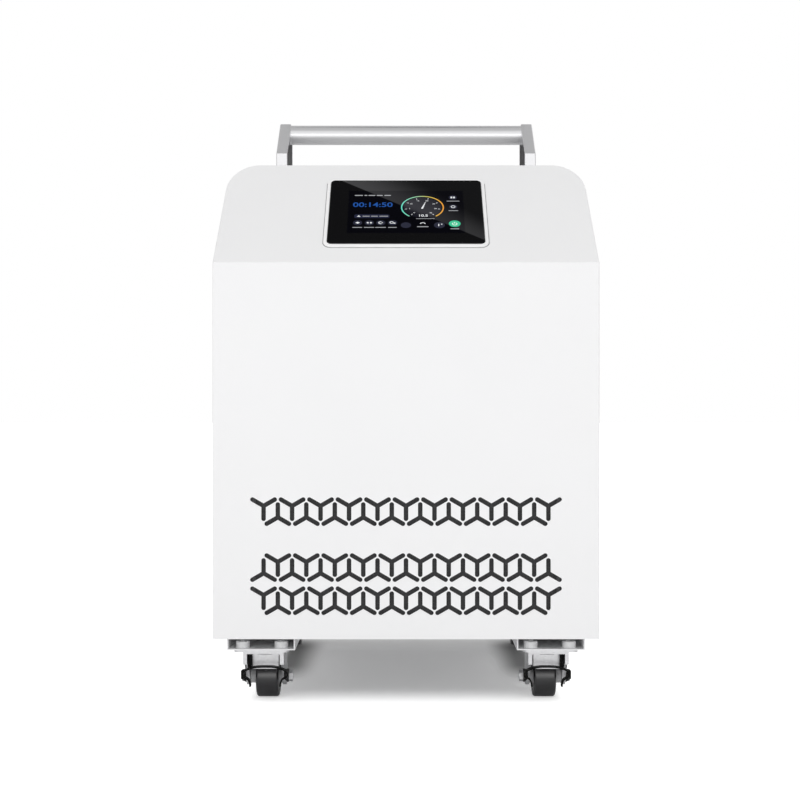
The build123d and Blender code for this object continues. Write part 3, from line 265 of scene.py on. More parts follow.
def plated(name, colour, roughness=0.32):
    """Bright zinc plate with a faint crystal pattern."""
    finish = Finish(name, metallic=1.0)
    crystal = finish.cells(0.0035)
    cloud = finish.noise(0.012, 3.0)
    finish.set(
        base_color=finish.blend(crystal * 0.5 + cloud * 0.5, shade(colour, 0.86), shade(colour, 1.06)),
        roughness=roughness - 0.06 + cloud * 0.14,
    )
    finish.bump(cloud, 0.00003, 0.5)
    return finish


def moulded(name, colour, roughness=0.45, grain=0.0009, depth=0.00003):
    """Moulded plastic with a fine spark-eroded grain."""
    finish = Finish(name)
    speckle = finish.cells(grain)
    cloud = finish.noise(0.02)
    finish.set(
        base_color=finish.blend(cloud, shade(colour, 0.93), shade(colour, 1.07)),
        roughness=roughness - 0.04 + speckle * 0.08,
    )
    finish.bump(speckle, depth, 0.5)
    return finish


def enamel(name, colour):
    """Sprayed enamel with a little orange peel."""
    finish = Finish(name, coat_roughness=0.08)
    peel = finish.noise(0.004, 1.0)
    finish.set(
        base_color=finish.blend(peel, shade(colour, 0.85), shade(colour, 1.2)),
        roughness=0.28 + peel * 0.1,
        coat_weight=0.25 + peel * 0.1,
    )
    finish.bump(peel, 0.00006, 0.5)
    return finish


def dull_black(name, colour):
    """Matt black coating over pressed steel."""
    finish = Finish(name, specular_ior_level=0.1)
    cloud = finish.noise(0.006, 2.0)
    finish.set(
        base_color=finish.blend(cloud, shade(colour, 0.08), shade(colour, 0.2)),
        roughness=0.5 + cloud * 0.1,
    )
    finish.bump(cloud, 0.00004, 0.4)
    return finish


def soft_rubber(name, colour, roughness=0.52, shine=0.5):
    """Moulded rubber: matt, with dust in its pores."""
    finish = Finish(name, specular_ior_level=shine)
    pores = finish.noise(0.0012, 3.0)
    dust = finish.noise(0.018, 2.0)
    finish.set(
        base_color=finish.blend(dust * pores, shade(colour, 0.5), shade(colour, 1.6)),
        roughness=roughness + dust * 0.16,
    )
    finish.bump(pores, 0.00008, 0.4)
    return finish


def copper_pipe(name, colour):
    finish = Finish(name, metallic=1.0)
    tarnish = finish.noise(0.02, 4.0)
    brown = (colour[0] * 0.55, colour[1] * 0.5, colour[2] * 0.5)
    finish.set(base_color=finish.blend(tarnish ** 2, colour, brown), roughness=0.22 + tarnish * 0.25)
    finish.bump(finish.noise(0.003, 2.0), 0.00004, 0.4)
    return finish


def woven_filter(name, colour):
    """Dark filter cloth: two crossed sets of threads."""
    finish = Finish(name, sheen_weight=0.2)
    weft = finish.waves(0.0016, "Z")
    warp = finish.waves(0.0016, "X")
    threads = weft * warp
    finish.set(
        base_color=finish.blend(threads, shade(colour, 0.5), shade(colour, 1.8)),
        roughness=0.85 - threads * 0.1,
    )
    finish.bump(threads, 0.0003, 0.7)
    return finish


def pleated_paper(name, colour):
    finish = Finish(name)
    pleats = finish.waves(0.004, "Z")
    # Painted shade: the paper's colour is darker in the folds of the pleats, where the bump dips.
    finish.set(base_color=finish.blend(pleats, shade(colour, 0.8), colour), roughness=0.8 + pleats * 0.1)
    finish.bump(pleats, 0.0008, 0.6)
    return finish


def solder_mask(name, colour):
    """Circuit board: mask over tracks, with bare pads."""
    finish = Finish(name)
    tracks = finish.cells(0.006, "DISTANCE_TO_EDGE")
    finish.set(
        base_color=finish.ramp(tracks * 8, [(0.0, shade(colour, 1.9)), (0.5, colour)]),
        roughness=0.3 + tracks * 0.4,
    )
    finish.bump(tracks, 0.00004, 0.5)
    return finish


def cover_glass(name, colour):
    """Black-printed cover glass: polished, with hardly visible wipe marks."""
    finish = Finish(name, ior=1.5)
    wipes = finish.noise(0.03, 3.0, (1.0, 0.3, 0.3))
    finish.set(
        base_color=finish.blend(wipes, shade(colour, 0.9), shade(colour, 1.1)),
        roughness=0.004 + wipes * 0.004,
    )
    finish.bump(wipes, 0.000004, 0.2)
    return finish


def lit(name, colour, strength=1.0, lit_by=None):
    """A lit mark behind glass: its colour comes from the display, its gloss from the glass."""
    finish = Finish(name, base_color=(0.004, 0.004, 0.005), ior=1.5, emission_strength=strength)
    flicker = finish.noise(0.0006, 1.0)
    glow = lit_by(finish) if lit_by else finish.blend(flicker, shade(colour, 0.93), colour)
    finish.set(emission_color=glow, roughness=0.03 + flicker * 0.02)
    return finish


def cabinet_finishes():
    """Finish of every material slot in the record."""
    look = colours()
    return {
        "white_paint": powder_coat("powder_coat", look.paint),
        "galvanised": plated("galvanised_sheet", COLOUR["galvanised"], 0.4),
        "zinc": plated("zinc_plate", shade(look.zinc, 1.1)),
        "satin_aluminium": satin_metal("satin_bar", look.aluminium, (0.02, 1, 1), 0.3),
        "white_plastic": moulded("frame_plastic", look.bezel, 0.35, 0.0007, 0.00001),
        "screen_glass": cover_glass("cover_glass", look.glass),
        "black_plastic": moulded("black_plastic", COLOUR["black_plastic"]),
        "board": solder_mask("solder_mask", COLOUR["board"]),
        "filter_mesh": woven_filter("filter_cloth", COLOUR["filter_mesh"]),
        "black_enamel": enamel("black_enamel", COLOUR["black_enamel"]),
        "copper": copper_pipe("copper_pipe", COLOUR["copper"]),
        "fin_aluminium": satin_metal("fin_foil", COLOUR["fin_aluminium"], (1, 1, 0.05), 0.42),
        "barrel": moulded("insulated_barrel", COLOUR["barrel"], 0.6, 0.002, 0.0001),
        "clear_canister": moulded("canister", COLOUR["clear_canister"], 0.18, 0.004, 0.00001),
        "paper": pleated_paper("pleated_paper", COLOUR["paper"]),
        "hose": soft_rubber("soft_hose", COLOUR["hose"]),
        "port_metal": plated("nickel_plate", COLOUR["port_metal"], 0.22),
        "lever_red": moulded("red_lever", COLOUR["lever_red"], 0.3),
        "rubber": soft_rubber("mount_rubber", COLOUR["rubber"]),
        "tyre": soft_rubber("tyre_rubber", shade(look.tyre, 0.35), 0.24, 0.9),
        "hub": moulded("hub_plastic", COLOUR["hub"]),
        "pedal": dull_black("pedal_black", COLOUR["pedal"]),
    }


def dress(obj, finish):
    obj.data.materials.clear()
    obj.data.materials.append(finish.material)


def piece(name, body, finish, fill, rounded=0.0, smooth=True):
    """A new piece whose mesh fill(bm) makes, riding on a body."""
    shape = bmesh.new()
    fill(shape)
    bmesh.ops.recalc_face_normals(shape, faces=shape.faces)
    mesh = bpy.data.meshes.new(name)
    shape.to_mesh(mesh)
    shape.free()
    obj = bpy.data.objects.new(name, mesh)
    bpy.context.scene.collection.objects.link(obj)
    if rounded:
        bevel = obj.modifiers.new("rounded edges", "BEVEL")
        bevel.width = rounded
        bevel.segments = 3
        bevel.limit_method = "ANGLE"
        bevel.harden_normals = False
    if smooth:
        mesh.shade_smooth()
        mesh.set_sharp_from_angle(angle=math.radians(40))
    dress(obj, finish)
    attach(obj, body)
    return obj


def glass_middle():
    """The middle of the glass's outer face."""
    points = [vertex.co for vertex in FRAME["nodes"]["screen_glass"].data.vertices]
    ups = [point.dot(UP_SLOPE) for point in points]
    across = [point.x for point in points]
    face = max(point.dot(OUT) for point in points)
    return RIGHT * (min(across) + max(across)) / 2 + UP_SLOPE * (min(ups) + max(ups)) / 2 + OUT * face


GLASS_MIDDLE = glass_middle()


def glass_point(across, up, lift):
    """A point over the glass, from millimetres right of and above its middle."""
    return GLASS_MIDDLE + (RIGHT * across + UP_SLOPE * up) * MM + OUT * lift


def plate_on_glass(shape, outline, low, high):
    """A flat plate of that outline, between two heights over the glass."""
    bottom = [shape.verts.new(glass_point(x, y, low)) for x, y in outline]
    top = [shape.verts.new(glass_point(x, y, high)) for x, y in outline]
    shape.faces.new(top)
    shape.faces.new(list(reversed(bottom)))
    count = len(outline)
    for at in range(count):
        shape.faces.new((bottom[at], bottom[(at + 1) % count], top[(at + 1) % count], top[at]))


def pill(x, y, width, height, corner=None, steps=6):
    """Outline of a box with rounded corners around (x, y)."""
    corner = min(width, height) / 2 if corner is None else corner
    outline = []
    for quarter, (side, rise) in enumerate(((1, 1), (-1, 1), (-1, -1), (1, -1))):
        centre = (x + side * (width / 2 - corner), y + rise * (height / 2 - corner))
        for step in range(steps + 1):
            turn = math.pi / 2 * (quarter + step / steps)
            outline.append((centre[0] + corner * math.cos(turn), centre[1] + corner * math.sin(turn)))
    return outline


def disc(x, y, radius, steps=40):
    turns = [2 * math.pi * step / steps for step in range(steps)]
    return [(x + radius * math.cos(turn), y + radius * math.sin(turn)) for turn in turns]


def arc_band(x, y, radius, width, start, end, steps=48):
    """Outline of a band along an arc, in degrees from +X."""
    turns = [math.radians(start + (end - start) * step / steps) for step in range(steps + 1)]
    inner = radius - width / 2
    outer = radius + width / 2
    outline = [(x + outer * math.cos(t), y + outer * math.sin(t)) for t in turns]
    return outline + [(x + inner * math.cos(t), y + inner * math.sin(t)) for t in reversed(turns)]


def bar_between(start, end, width, tip=None):
    """Outline of a straight stroke; tip is its width at the far end."""
    tip = width if tip is None else tip
    direction = Vector((end[0] - start[0], end[1] - start[1])).normalized()
    side = Vector((-direction.y, direction.x))
    near = side * (width / 2)
    far = side * (tip / 2)
    return [
        (start[0] + near.x, start[1] + near.y),
        (start[0] - near.x, start[1] - near.y),
        (end[0] - far.x, end[1] - far.y),
        (end[0] + far.x, end[1] + far.y),
    ]


def add_figures(shape, text, x, y, height, lift, heavy=0.0):
    """Adds plain figures centred on (x, y) of the glass, height in millimetres."""
    curve = bpy.data.curves.new("figures", "FONT")
    curve.body = text
    curve.size = height * 1.38
    curve.align_x = "CENTER"
    curve.align_y = "CENTER"
    curve.offset = heavy
    curve.extrude = 0.02
    carrier = bpy.data.objects.new("figures", curve)
    bpy.context.scene.collection.objects.link(carrier)
    bpy.context.view_layer.update()
    mesh = bpy.data.meshes.new_from_object(carrier.evaluated_get(bpy.context.evaluated_depsgraph_get()))
    bpy.data.objects.remove(carrier)
    bpy.data.curves.remove(curve)
    for vertex in mesh.vertices:
        vertex.co = glass_point(x + vertex.co.x, y + vertex.co.y, lift + vertex.co.z * MM)
    shape.from_mesh(mesh)
    bpy.data.meshes.remove(mesh)


class CHILLER_OT_finishes(bpy.types.Operator):
    """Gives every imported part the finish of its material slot"""

    bl_idname = "chiller.finishes"
    bl_label = "Finish the packed parts"

    def execute(self, context):
        finishes = cabinet_finishes()
        for name, node in FRAME["nodes"].items():
            dress(node, finishes[SLOT_OF[name]])
        return {"FINISHED"}


class CHILLER_OT_screen_page(bpy.types.Operator):
    """Adds the display's lit page: dial, figures, buttons and bars"""

    bl_idname = "chiller.screen_page"
    bl_label = "Light the screen"

    # Millimetres from the glass's middle; angles in degrees from +X
    key_columns = (-57.6, -43.6, -30.0, -16.0)
    key_row = -26.6
    side_rows = (30.2, 9.0)
    timer = (-40.2, 13.2)
    timer_height = 10.2
    dial = (19.9, 7.6)
    dial_radius = 25.2
    dial_band_width = 1.5
    dial_floor_inset = 2.2
    dial_start = 231
    dial_sweep = 282
    ticks = 8
    tick_step = 5
    tick_radii = (19.0, 21.4)
    tick_label_radius = 15.8
    tick_label_height = 2.5
    reading_height = 5.0
    start_key = (57.9, -28.6)
    start_key_radius = 7.0

    def execute(self, context):
        rise = sizes().mark_rise
        self.layers = [step * rise for step in (0.2, 1.0, 1.8, 2.6)]
        self.page()
        self.buttons()
        self.white_marks()
        self.blue_figures()
        self.dial_band()
        self.green_button()
        return {"FINISHED"}

    def add(self, name, finish, outlines, level):
        low, high = self.layers[level - 1], self.layers[level]

        def fill(shape):
            for outline in outlines:
                plate_on_glass(shape, outline, low, high)

        return piece(name, "cabinet", finish, fill, smooth=False)

    def page(self):
        finish = cover_glass("display_black", colours().page)
        finish.set(specular_ior_level=0.3)
        self.add("screen_page", finish, [pill(0, -1.4, 139.5, 94.5, 1.0)], 1)

    def buttons(self):
        tab = lit("slate_tab", (0.017, 0.02, 0.045))
        self.add("screen_tab", tab, [pill(-40.9, -12.2, 42.0, 8.0, 2.6)], 2)
        keys = lit("dark_keys", (0.022, 0.024, 0.042))
        outlines = [disc(x, self.key_row, 5.4) for x in self.key_columns]
        outlines += [disc(57.0, y, 4.9) for y in self.side_rows]
        outlines += [disc(39.7, -31.8, 6.5), disc(-0.1, -31.8, 6.1)]
        self.add("screen_keys", keys, outlines, 2)

    def blue_figures(self):
        finish = lit("blue_figures", (0.012, 0.085, 0.36))
        top = self.layers[1]

        def fill(shape):
            add_figures(shape, "00:14:50", *self.timer, self.timer_height, top, 0.22)

        piece("screen_timer", "cabinet", finish, fill, smooth=False)

    def dial_band(self):
        x, y = self.dial
        half = self.dial_radius * MM

        def along(finish):
            split = finish.node("ShaderNodeSeparateXYZ", None, {0: finish.place}, "X")
            share = (split - (x * MM - half)) / (2 * half)
            stops = [
                (0.0, (0.13, 0.72, 0.55)),
                (1.0, (0.86, 0.34, 0.03)),
                (0.38, (0.36, 0.68, 0.40)),
                (0.62, (0.66, 0.60, 0.12)),
                (0.85, (0.88, 0.48, 0.06)),
            ]
            return finish.ramp(share, stops)

        finish = lit("dial_band", (1, 1, 1), 1.0, along)
        end = self.dial_start - self.dial_sweep
        band = arc_band(x, y, self.dial_radius, self.dial_band_width, self.dial_start, end, 72)
        self.add("screen_dial", finish, [band], 2)
        floor = lit("dial_floor", (0.004, 0.004, 0.009))
        self.add("screen_dial_floor", floor, [disc(x, y, self.dial_radius - self.dial_floor_inset, 64)], 2)

    def white_marks(self):
        finish = lit("white_marks", (0.82, 0.84, 0.86))
        x, y = self.dial
        outlines = []
        for tick in range(self.ticks):
            ends = [self.on_dial(tick, radius) for radius in self.tick_radii]
            outlines.append(bar_between(*ends, 0.7))
        outlines.append(bar_between((x - 0.6, y - 3.0), (x + 3.8, y + 12.2), 2.4, 0.5))
        captions = [pill(x + 3.2, y - 25.2, 22.4, 0.8)]
        # Bars in place of the header's words
        for bar_x, width in ((-57.6, 10.0), (-49.0, 3.6), (-41.6, 8.6), (-32.2, 7.4), (-22.4, 8.0)):
            captions.append(pill(bar_x, 34.9, width, 1.8))
        # A roof mark and bars on the tab
        outlines.append([(-58.8, -13.4), (-56.6, -10.0), (-54.4, -13.4)])
        for bar_x, width in ((-47.8, 8.8), (-37.8, 8.4), (-26.6, 10.8)):
            captions.append(pill(bar_x, -12.2, width, 1.4))
        # Bars in place of the captions under the keys
        for bar_x, width in zip(self.key_columns, (11.6, 12.2, 12.8, 10.2)):
            captions.append(pill(bar_x - 0.2, -36.8, width, 1.3))
        captions += [pill(57.2, 21.8, 15.6, 1.2), pill(57.0, 0.2, 11.6, 1.2), pill(57.8, -39.8, 10.4, 1.4)]
        captions += [pill(x, -35.2, 13.6, 1.6)]
        outlines += self.small_signs(x)
        self.add("screen_marks", finish, outlines, 3)
        soft = lit("soft_marks", (0.42, 0.43, 0.45))
        self.add("screen_captions", soft, captions, 3)
        figures = lit("white_figures", (0.86, 0.88, 0.9))
        top = self.layers[2]

        def fill(shape):
            add_figures(shape, "10.5", x + 0.6, y - 18.6, self.reading_height, top, 0.12)
            for tick in range(self.ticks):
                place = self.on_dial(tick, self.tick_label_radius)
                add_figures(shape, str(self.tick_step * tick), *place, self.tick_label_height, top)

        piece("screen_figures", "cabinet", figures, fill, smooth=False)

    def on_dial(self, tick, radius):
        turn = math.radians(self.dial_start - self.dial_sweep * tick / (self.ticks - 1))
        return (self.dial[0] + radius * math.cos(turn), self.dial[1] + radius * math.sin(turn))

    def small_signs(self, dial_x):
        """Signs on the keys: drop, flakes, moon, fan, lamp, ring and wave."""
        signs = []
        first, second, third, fourth = self.key_columns
        y = self.key_row
        signs.append([(first - 2.8, y), (first, y + 2.2), (first + 2.8, y), (first, y - 2.2)])
        for x in (second - 1.9, second + 1.9):
            signs.append([(x - 1.6, y), (x, y + 1.9), (x + 1.6, y), (x, y - 1.9)])
        signs.append(arc_band(third - 0.2, y, 2.2, 1.1, 60, 300, 20))
        signs.append(disc(third + 1.8, y, 0.8, 16))
        signs.append(arc_band(fourth - 1.2, y + 0.6, 1.9, 1.0, 0, 330, 20))
        signs.append(pill(fourth + 2.2, y - 0.8, 2.6, 2.2, 0.8))
        high, low = self.side_rows
        signs += [pill(55.4, high, 2.2, 3.6, 0.4), pill(58.6, high, 2.2, 3.6, 0.4)]
        signs.append(arc_band(57.0, low, 2.3, 1.0, 0, 345, 28))
        signs.append(arc_band(dial_x, -29.4, 2.9, 1.2, 10, 170, 16))
        signs.append(pill(38.9, -31.6, 1.2, 5.0))
        signs.append(disc(42.4, -29.8, 0.9, 16))
        return signs

    def green_button(self):
        finish = lit("green_key", (0.035, 0.56, 0.29))
        x, y = self.start_key
        self.add("screen_start_key", finish, [disc(x, y, self.start_key_radius)], 2)
        white = lit("start_sign", (0.9, 0.95, 0.92))
        outlines = [arc_band(x, -29.0, 2.7, 0.9, 130, 410, 24), pill(x, -26.6, 0.9, 3.2)]
        self.add("screen_start_sign", white, outlines, 3)


def add_ring(shape, centre, radius, wire, steps=96, sides=10):
    """A round wire ring in the rear panel's plane."""
    loops = []
    for step in range(steps):
        turn = 2 * math.pi * step / steps
        across = Vector((math.cos(turn), 0, math.sin(turn)))
        loop = []
        for side in range(sides):
            lean = 2 * math.pi * side / sides
            offset = across * (wire * math.cos(lean)) + Vector((0, wire * math.sin(lean), 0))
            loop.append(shape.verts.new(centre + across * radius + offset))
        loops.append(loop)
    for step in range(steps):
        near, far = loops[step], loops[(step + 1) % steps]
        for side in range(sides):
            last = (side + 1) % sides
            shape.faces.new((near[side], near[last], far[last], far[side]))


def add_rod(shape, start, end, radius, sides=12, end_round=0.35):
    """A straight round rod with rounded ends."""
    direction = (end - start).normalized()
    helper = Vector((0, 0, 1)) if abs(direction.z) < 0.9 else Vector((1, 0, 0))
    first = direction.cross(helper).normalized()
    second = direction.cross(first)
    inset = radius * end_round
    stations = (
        (start, radius * 0.6),
        (start + direction * inset, radius),
        (end - direction * inset, radius),
        (end, radius * 0.6),
    )
    loops = []
    for centre, size in stations:
        loop = []
        for side in range(sides):
            turn = 2 * math.pi * side / sides
            offset = first * (size * math.cos(turn)) + second * (size * math.sin(turn))
            loop.append(shape.verts.new(centre + offset))
        loops.append(loop)
    for near, far in zip(loops, loops[1:]):
        for side in range(sides):
            last = (side + 1) % sides
            shape.faces.new((near[side], near[last], far[last], far[side]))
    shape.faces.new(loops[0])
    shape.faces.new(loops[-1])


def add_button(shape, centre, radius, thick, steps=32):
    """A flat disc with a rounded rim, in the rear panel's plane."""
    loops = []
    for share, level in ((0.9, -0.5), (0.98, -0.4), (1.0, -0.2), (1.0, 0.2), (0.98, 0.4), (0.9, 0.5)):
        loop = []
        for step in range(steps):
            turn = 2 * math.pi * step / steps
            flat = Vector((math.cos(turn), 0, math.sin(turn))) * (radius * share)
            loop.append(shape.verts.new(centre + flat + Vector((0, thick * level, 0))))
        loops.append(loop)
    for near, far in zip(loops, loops[1:]):
        for step in range(steps):
            last = (step + 1) % steps
            shape.faces.new((near[step], near[last], far[last], far[step]))
    shape.faces.new(loops[0])
    shape.faces.new(loops[-1])


class CHILLER_OT_rear_fittings(bpy.types.Operator):
    """Adds the barbs of the hose spigots and the grip ribs of the filter cap"""

    bl_idname = "chiller.rear_fittings"
    bl_label = "Fit barbs and ribs"

    # Millimetres; the section holds radius and distance from the barb's start
    barbs = 3
    first_barb = 3.0
    barb_pitch = 6.0
    barb_section = ((12.3, 0), (12.55, 0), (13.4, 3.6), (13.4, 4.0), (12.3, 4.2))
    ribs = 40
    rib_radius = 1.0
    rib_start = 0.6
    rib_reach = 8.4
    rib_sunk = 0.1

    def execute(self, context):
        nickel = plated("barb_nickel", COLOUR["port_metal"], 0.22)
        for name in ("water_inlet", "water_outlet"):
            piece(name + "_barbs", "cabinet", nickel, partial(self.add_barbs, name))
        finish = moulded("cap_ribs", COLOUR["black_plastic"])
        piece("filter_cap_ribs", "filter_cap", finish, self.add_ribs)
        return {"FINISHED"}

    def add_barbs(self, name, shape):
        """Rings that widen away from a spigot's tip."""
        low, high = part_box(name)
        tip = Vector(((low.x + high.x) / 2, high.y, (low.z + high.z) / 2))
        for barb in range(self.barbs):
            start = self.first_barb + self.barb_pitch * barb
            self.turn(shape, tip, [(radius, start + back) for radius, back in self.barb_section])

    def turn(self, shape, tip, section, steps=64):
        loops = []
        for step in range(steps):
            angle = 2 * math.pi * step / steps
            across = Vector((math.cos(angle), 0, math.sin(angle)))
            points = [tip + across * radius * MM - Vector((0, back * MM, 0)) for radius, back in section]
            loops.append([shape.verts.new(point) for point in points])
        for near, far in zip(loops, loops[1:] + loops[:1]):
            for at in range(len(section)):
                last = (at + 1) % len(section)
                shape.faces.new((near[at], near[last], far[last], far[at]))

    def add_ribs(self, shape):
        low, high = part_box("filter_cap")
        middle = (low + high) / 2
        centre = Vector((middle.x, low.y, middle.z))
        radius = (high.x - low.x) / 2 - self.rib_sunk * MM
        for rib in range(self.ribs):
            angle = 2 * math.pi * rib / self.ribs
            foot = centre + Vector((math.cos(angle), 0, math.sin(angle))) * radius
            start = foot + Vector((0, self.rib_start * MM, 0))
            add_rod(shape, start, foot + Vector((0, self.rib_reach * MM, 0)), self.rib_radius * MM, 10)


class CHILLER_OT_bezel_gasket(bpy.types.Operator):
    """Lays a thin grey ring around the screen's frame, on the hood's slope. It is painted shade: it stands in
    for the shadow line where the frame meets the hood.
    """

    bl_idname = "chiller.bezel_gasket"
    bl_label = "Lay the screen shade ring"

    # The frame's corner radius, in millimetres
    corner = 10.2

    def execute(self, context):
        width = sizes().shade_ring_width / MM
        frame = [vertex.co - GLASS_MIDDLE for vertex in FRAME["nodes"]["screen_bezel"].data.vertices]
        half_width = max(abs(point.x) for point in frame) / MM
        ups = [point.dot(UP_SLOPE) / MM for point in frame]
        middle, half_height = (max(ups) + min(ups)) / 2, (max(ups) - min(ups)) / 2
        hood = max(vertex.co.dot(OUT) for vertex in FRAME["nodes"]["hood"].data.vertices)
        slope = hood - GLASS_MIDDLE.dot(OUT)

        def loop(grow, lift):
            width_over, height_over = 2 * (half_width + grow), 2 * (half_height + grow)
            outline = pill(0, middle, width_over, height_over, self.corner + grow, 10)
            return [glass_point(x, y, lift) for x, y in outline]

        def fill(shape):
            section = ((0, 0.02), (0, 0.3), (width * 0.3, 0.42), (width * 0.8, 0.3), (width, 0.02))
            loops = []
            for grow, lift in section:
                loops.append([shape.verts.new(point) for point in loop(grow, slope + lift * MM)])
            count = len(loops[0])
            for near, far in zip(loops, loops[1:] + loops[:1]):
                for at in range(count):
                    shape.faces.new((near[at], near[(at + 1) % count], far[(at + 1) % count], far[at]))

        # Painted shade: a grey ring in place of the shadow line around the frame.
        finish = soft_rubber("shade_ring_grey", (0.42, 0.42, 0.425))
        piece("screen_shade_ring", "cabinet", finish, fill)
        return {"FINISHED"}


class CHILLER_OT_brake_blocks(bpy.types.Operator):
    """Puts a black block inside each fork, against its outer leg. It is painted shade: it stands in for the
    shade inside the fork.
    """

    bl_idname = "chiller.brake_blocks"
    bl_label = "Fit the shade blocks"

    # Millimetres; the outline holds Y from the fork's front and Z from its top
    outline = ((9.0, -4.1), (16.8, -4.1), (16.8, -24.0), (14.0, -24.0), (9.0, -19.5))
    leg = 4.5
    gap = 0.03
    rounding = 0.6

    def execute(self, context):
        # Painted shade: matt black where the inside of the fork is in shade.
        finish = dull_black("shade_block_black", COLOUR["pedal"])
        for corner in ("fl", "fr", "rl", "rr"):
            fork = "fork_" + corner
            fill = partial(self.fill, fork)
            piece("shade_block_" + corner, fork, finish, fill, self.rounding * MM)
        return {"FINISHED"}

    def fill(self, fork, shape):
        low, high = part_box(fork)
        outer = -1 if high.x < 0 else 1
        near = (low.x if outer < 0 else high.x) - outer * (self.leg + self.gap) * MM
        sides = []
        for x in (near, near - outer * sizes().block_thick):
            sides.append([shape.verts.new((x, low.y + y * MM, high.z + z * MM)) for y, z in self.outline])
        count = len(self.outline)
        for at in range(count):
            last = (at + 1) % count
            shape.faces.new((sides[0][at], sides[0][last], sides[1][last], sides[1][at]))
        for side in sides:
            shape.faces.new(side)


class CHILLER_OT_fan_guard(bpy.types.Operator):
    """Bends the fan guard's rings and spokes from round wire"""

    bl_idname = "chiller.fan_guard"
    bl_label = "Bend the fan guard"

    rings = 9
    spokes = 6
    lug_radius = 7.0
    hub_share = 0.2

    def execute(self, context):
        low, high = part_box("fan_guard")
        centre = Vector(((low.x + high.x) / 2, 0, (low.z + high.z) / 2))
        wire = sizes().guard_wire
        outer = (high.x - low.x) / 2 - wire
        ring_place = Vector((centre.x, high.y - wire, centre.z))
        spoke_place = Vector((centre.x, low.y + wire * 0.9, centre.z))
        hub = outer * self.hub_share
        lug_radius = self.lug_radius * MM
        lug_place = spoke_place + Vector((0, wire * 0.3, 0))

        def fill(shape):
            for ring in range(self.rings):
                radius = hub + (outer - hub) * ring / (self.rings - 1)
                add_ring(shape, ring_place, radius, wire)
            add_button(shape, spoke_place, hub + wire, wire * 1.8, 48)
            for corner in range(4):
                turn = math.pi * (corner / 2 + 0.25)
                across = Vector((math.cos(turn), 0, math.sin(turn)))
                add_ring(shape, lug_place + across * (outer + wire + lug_radius), lug_radius - wire, wire, 28)
            for spoke in range(self.spokes):
                turn = 2 * math.pi * spoke / self.spokes
                across = Vector((math.cos(turn), 0, math.sin(turn)))
                add_rod(shape, spoke_place + across * hub, spoke_place + across * outer, wire * 1.2)

        finish = plated("guard_wire", colours().zinc, 0.3)
        guard = piece("guard_wires", "cabinet", finish, fill)
        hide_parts("fan_guard")
        return {"FINISHED"}


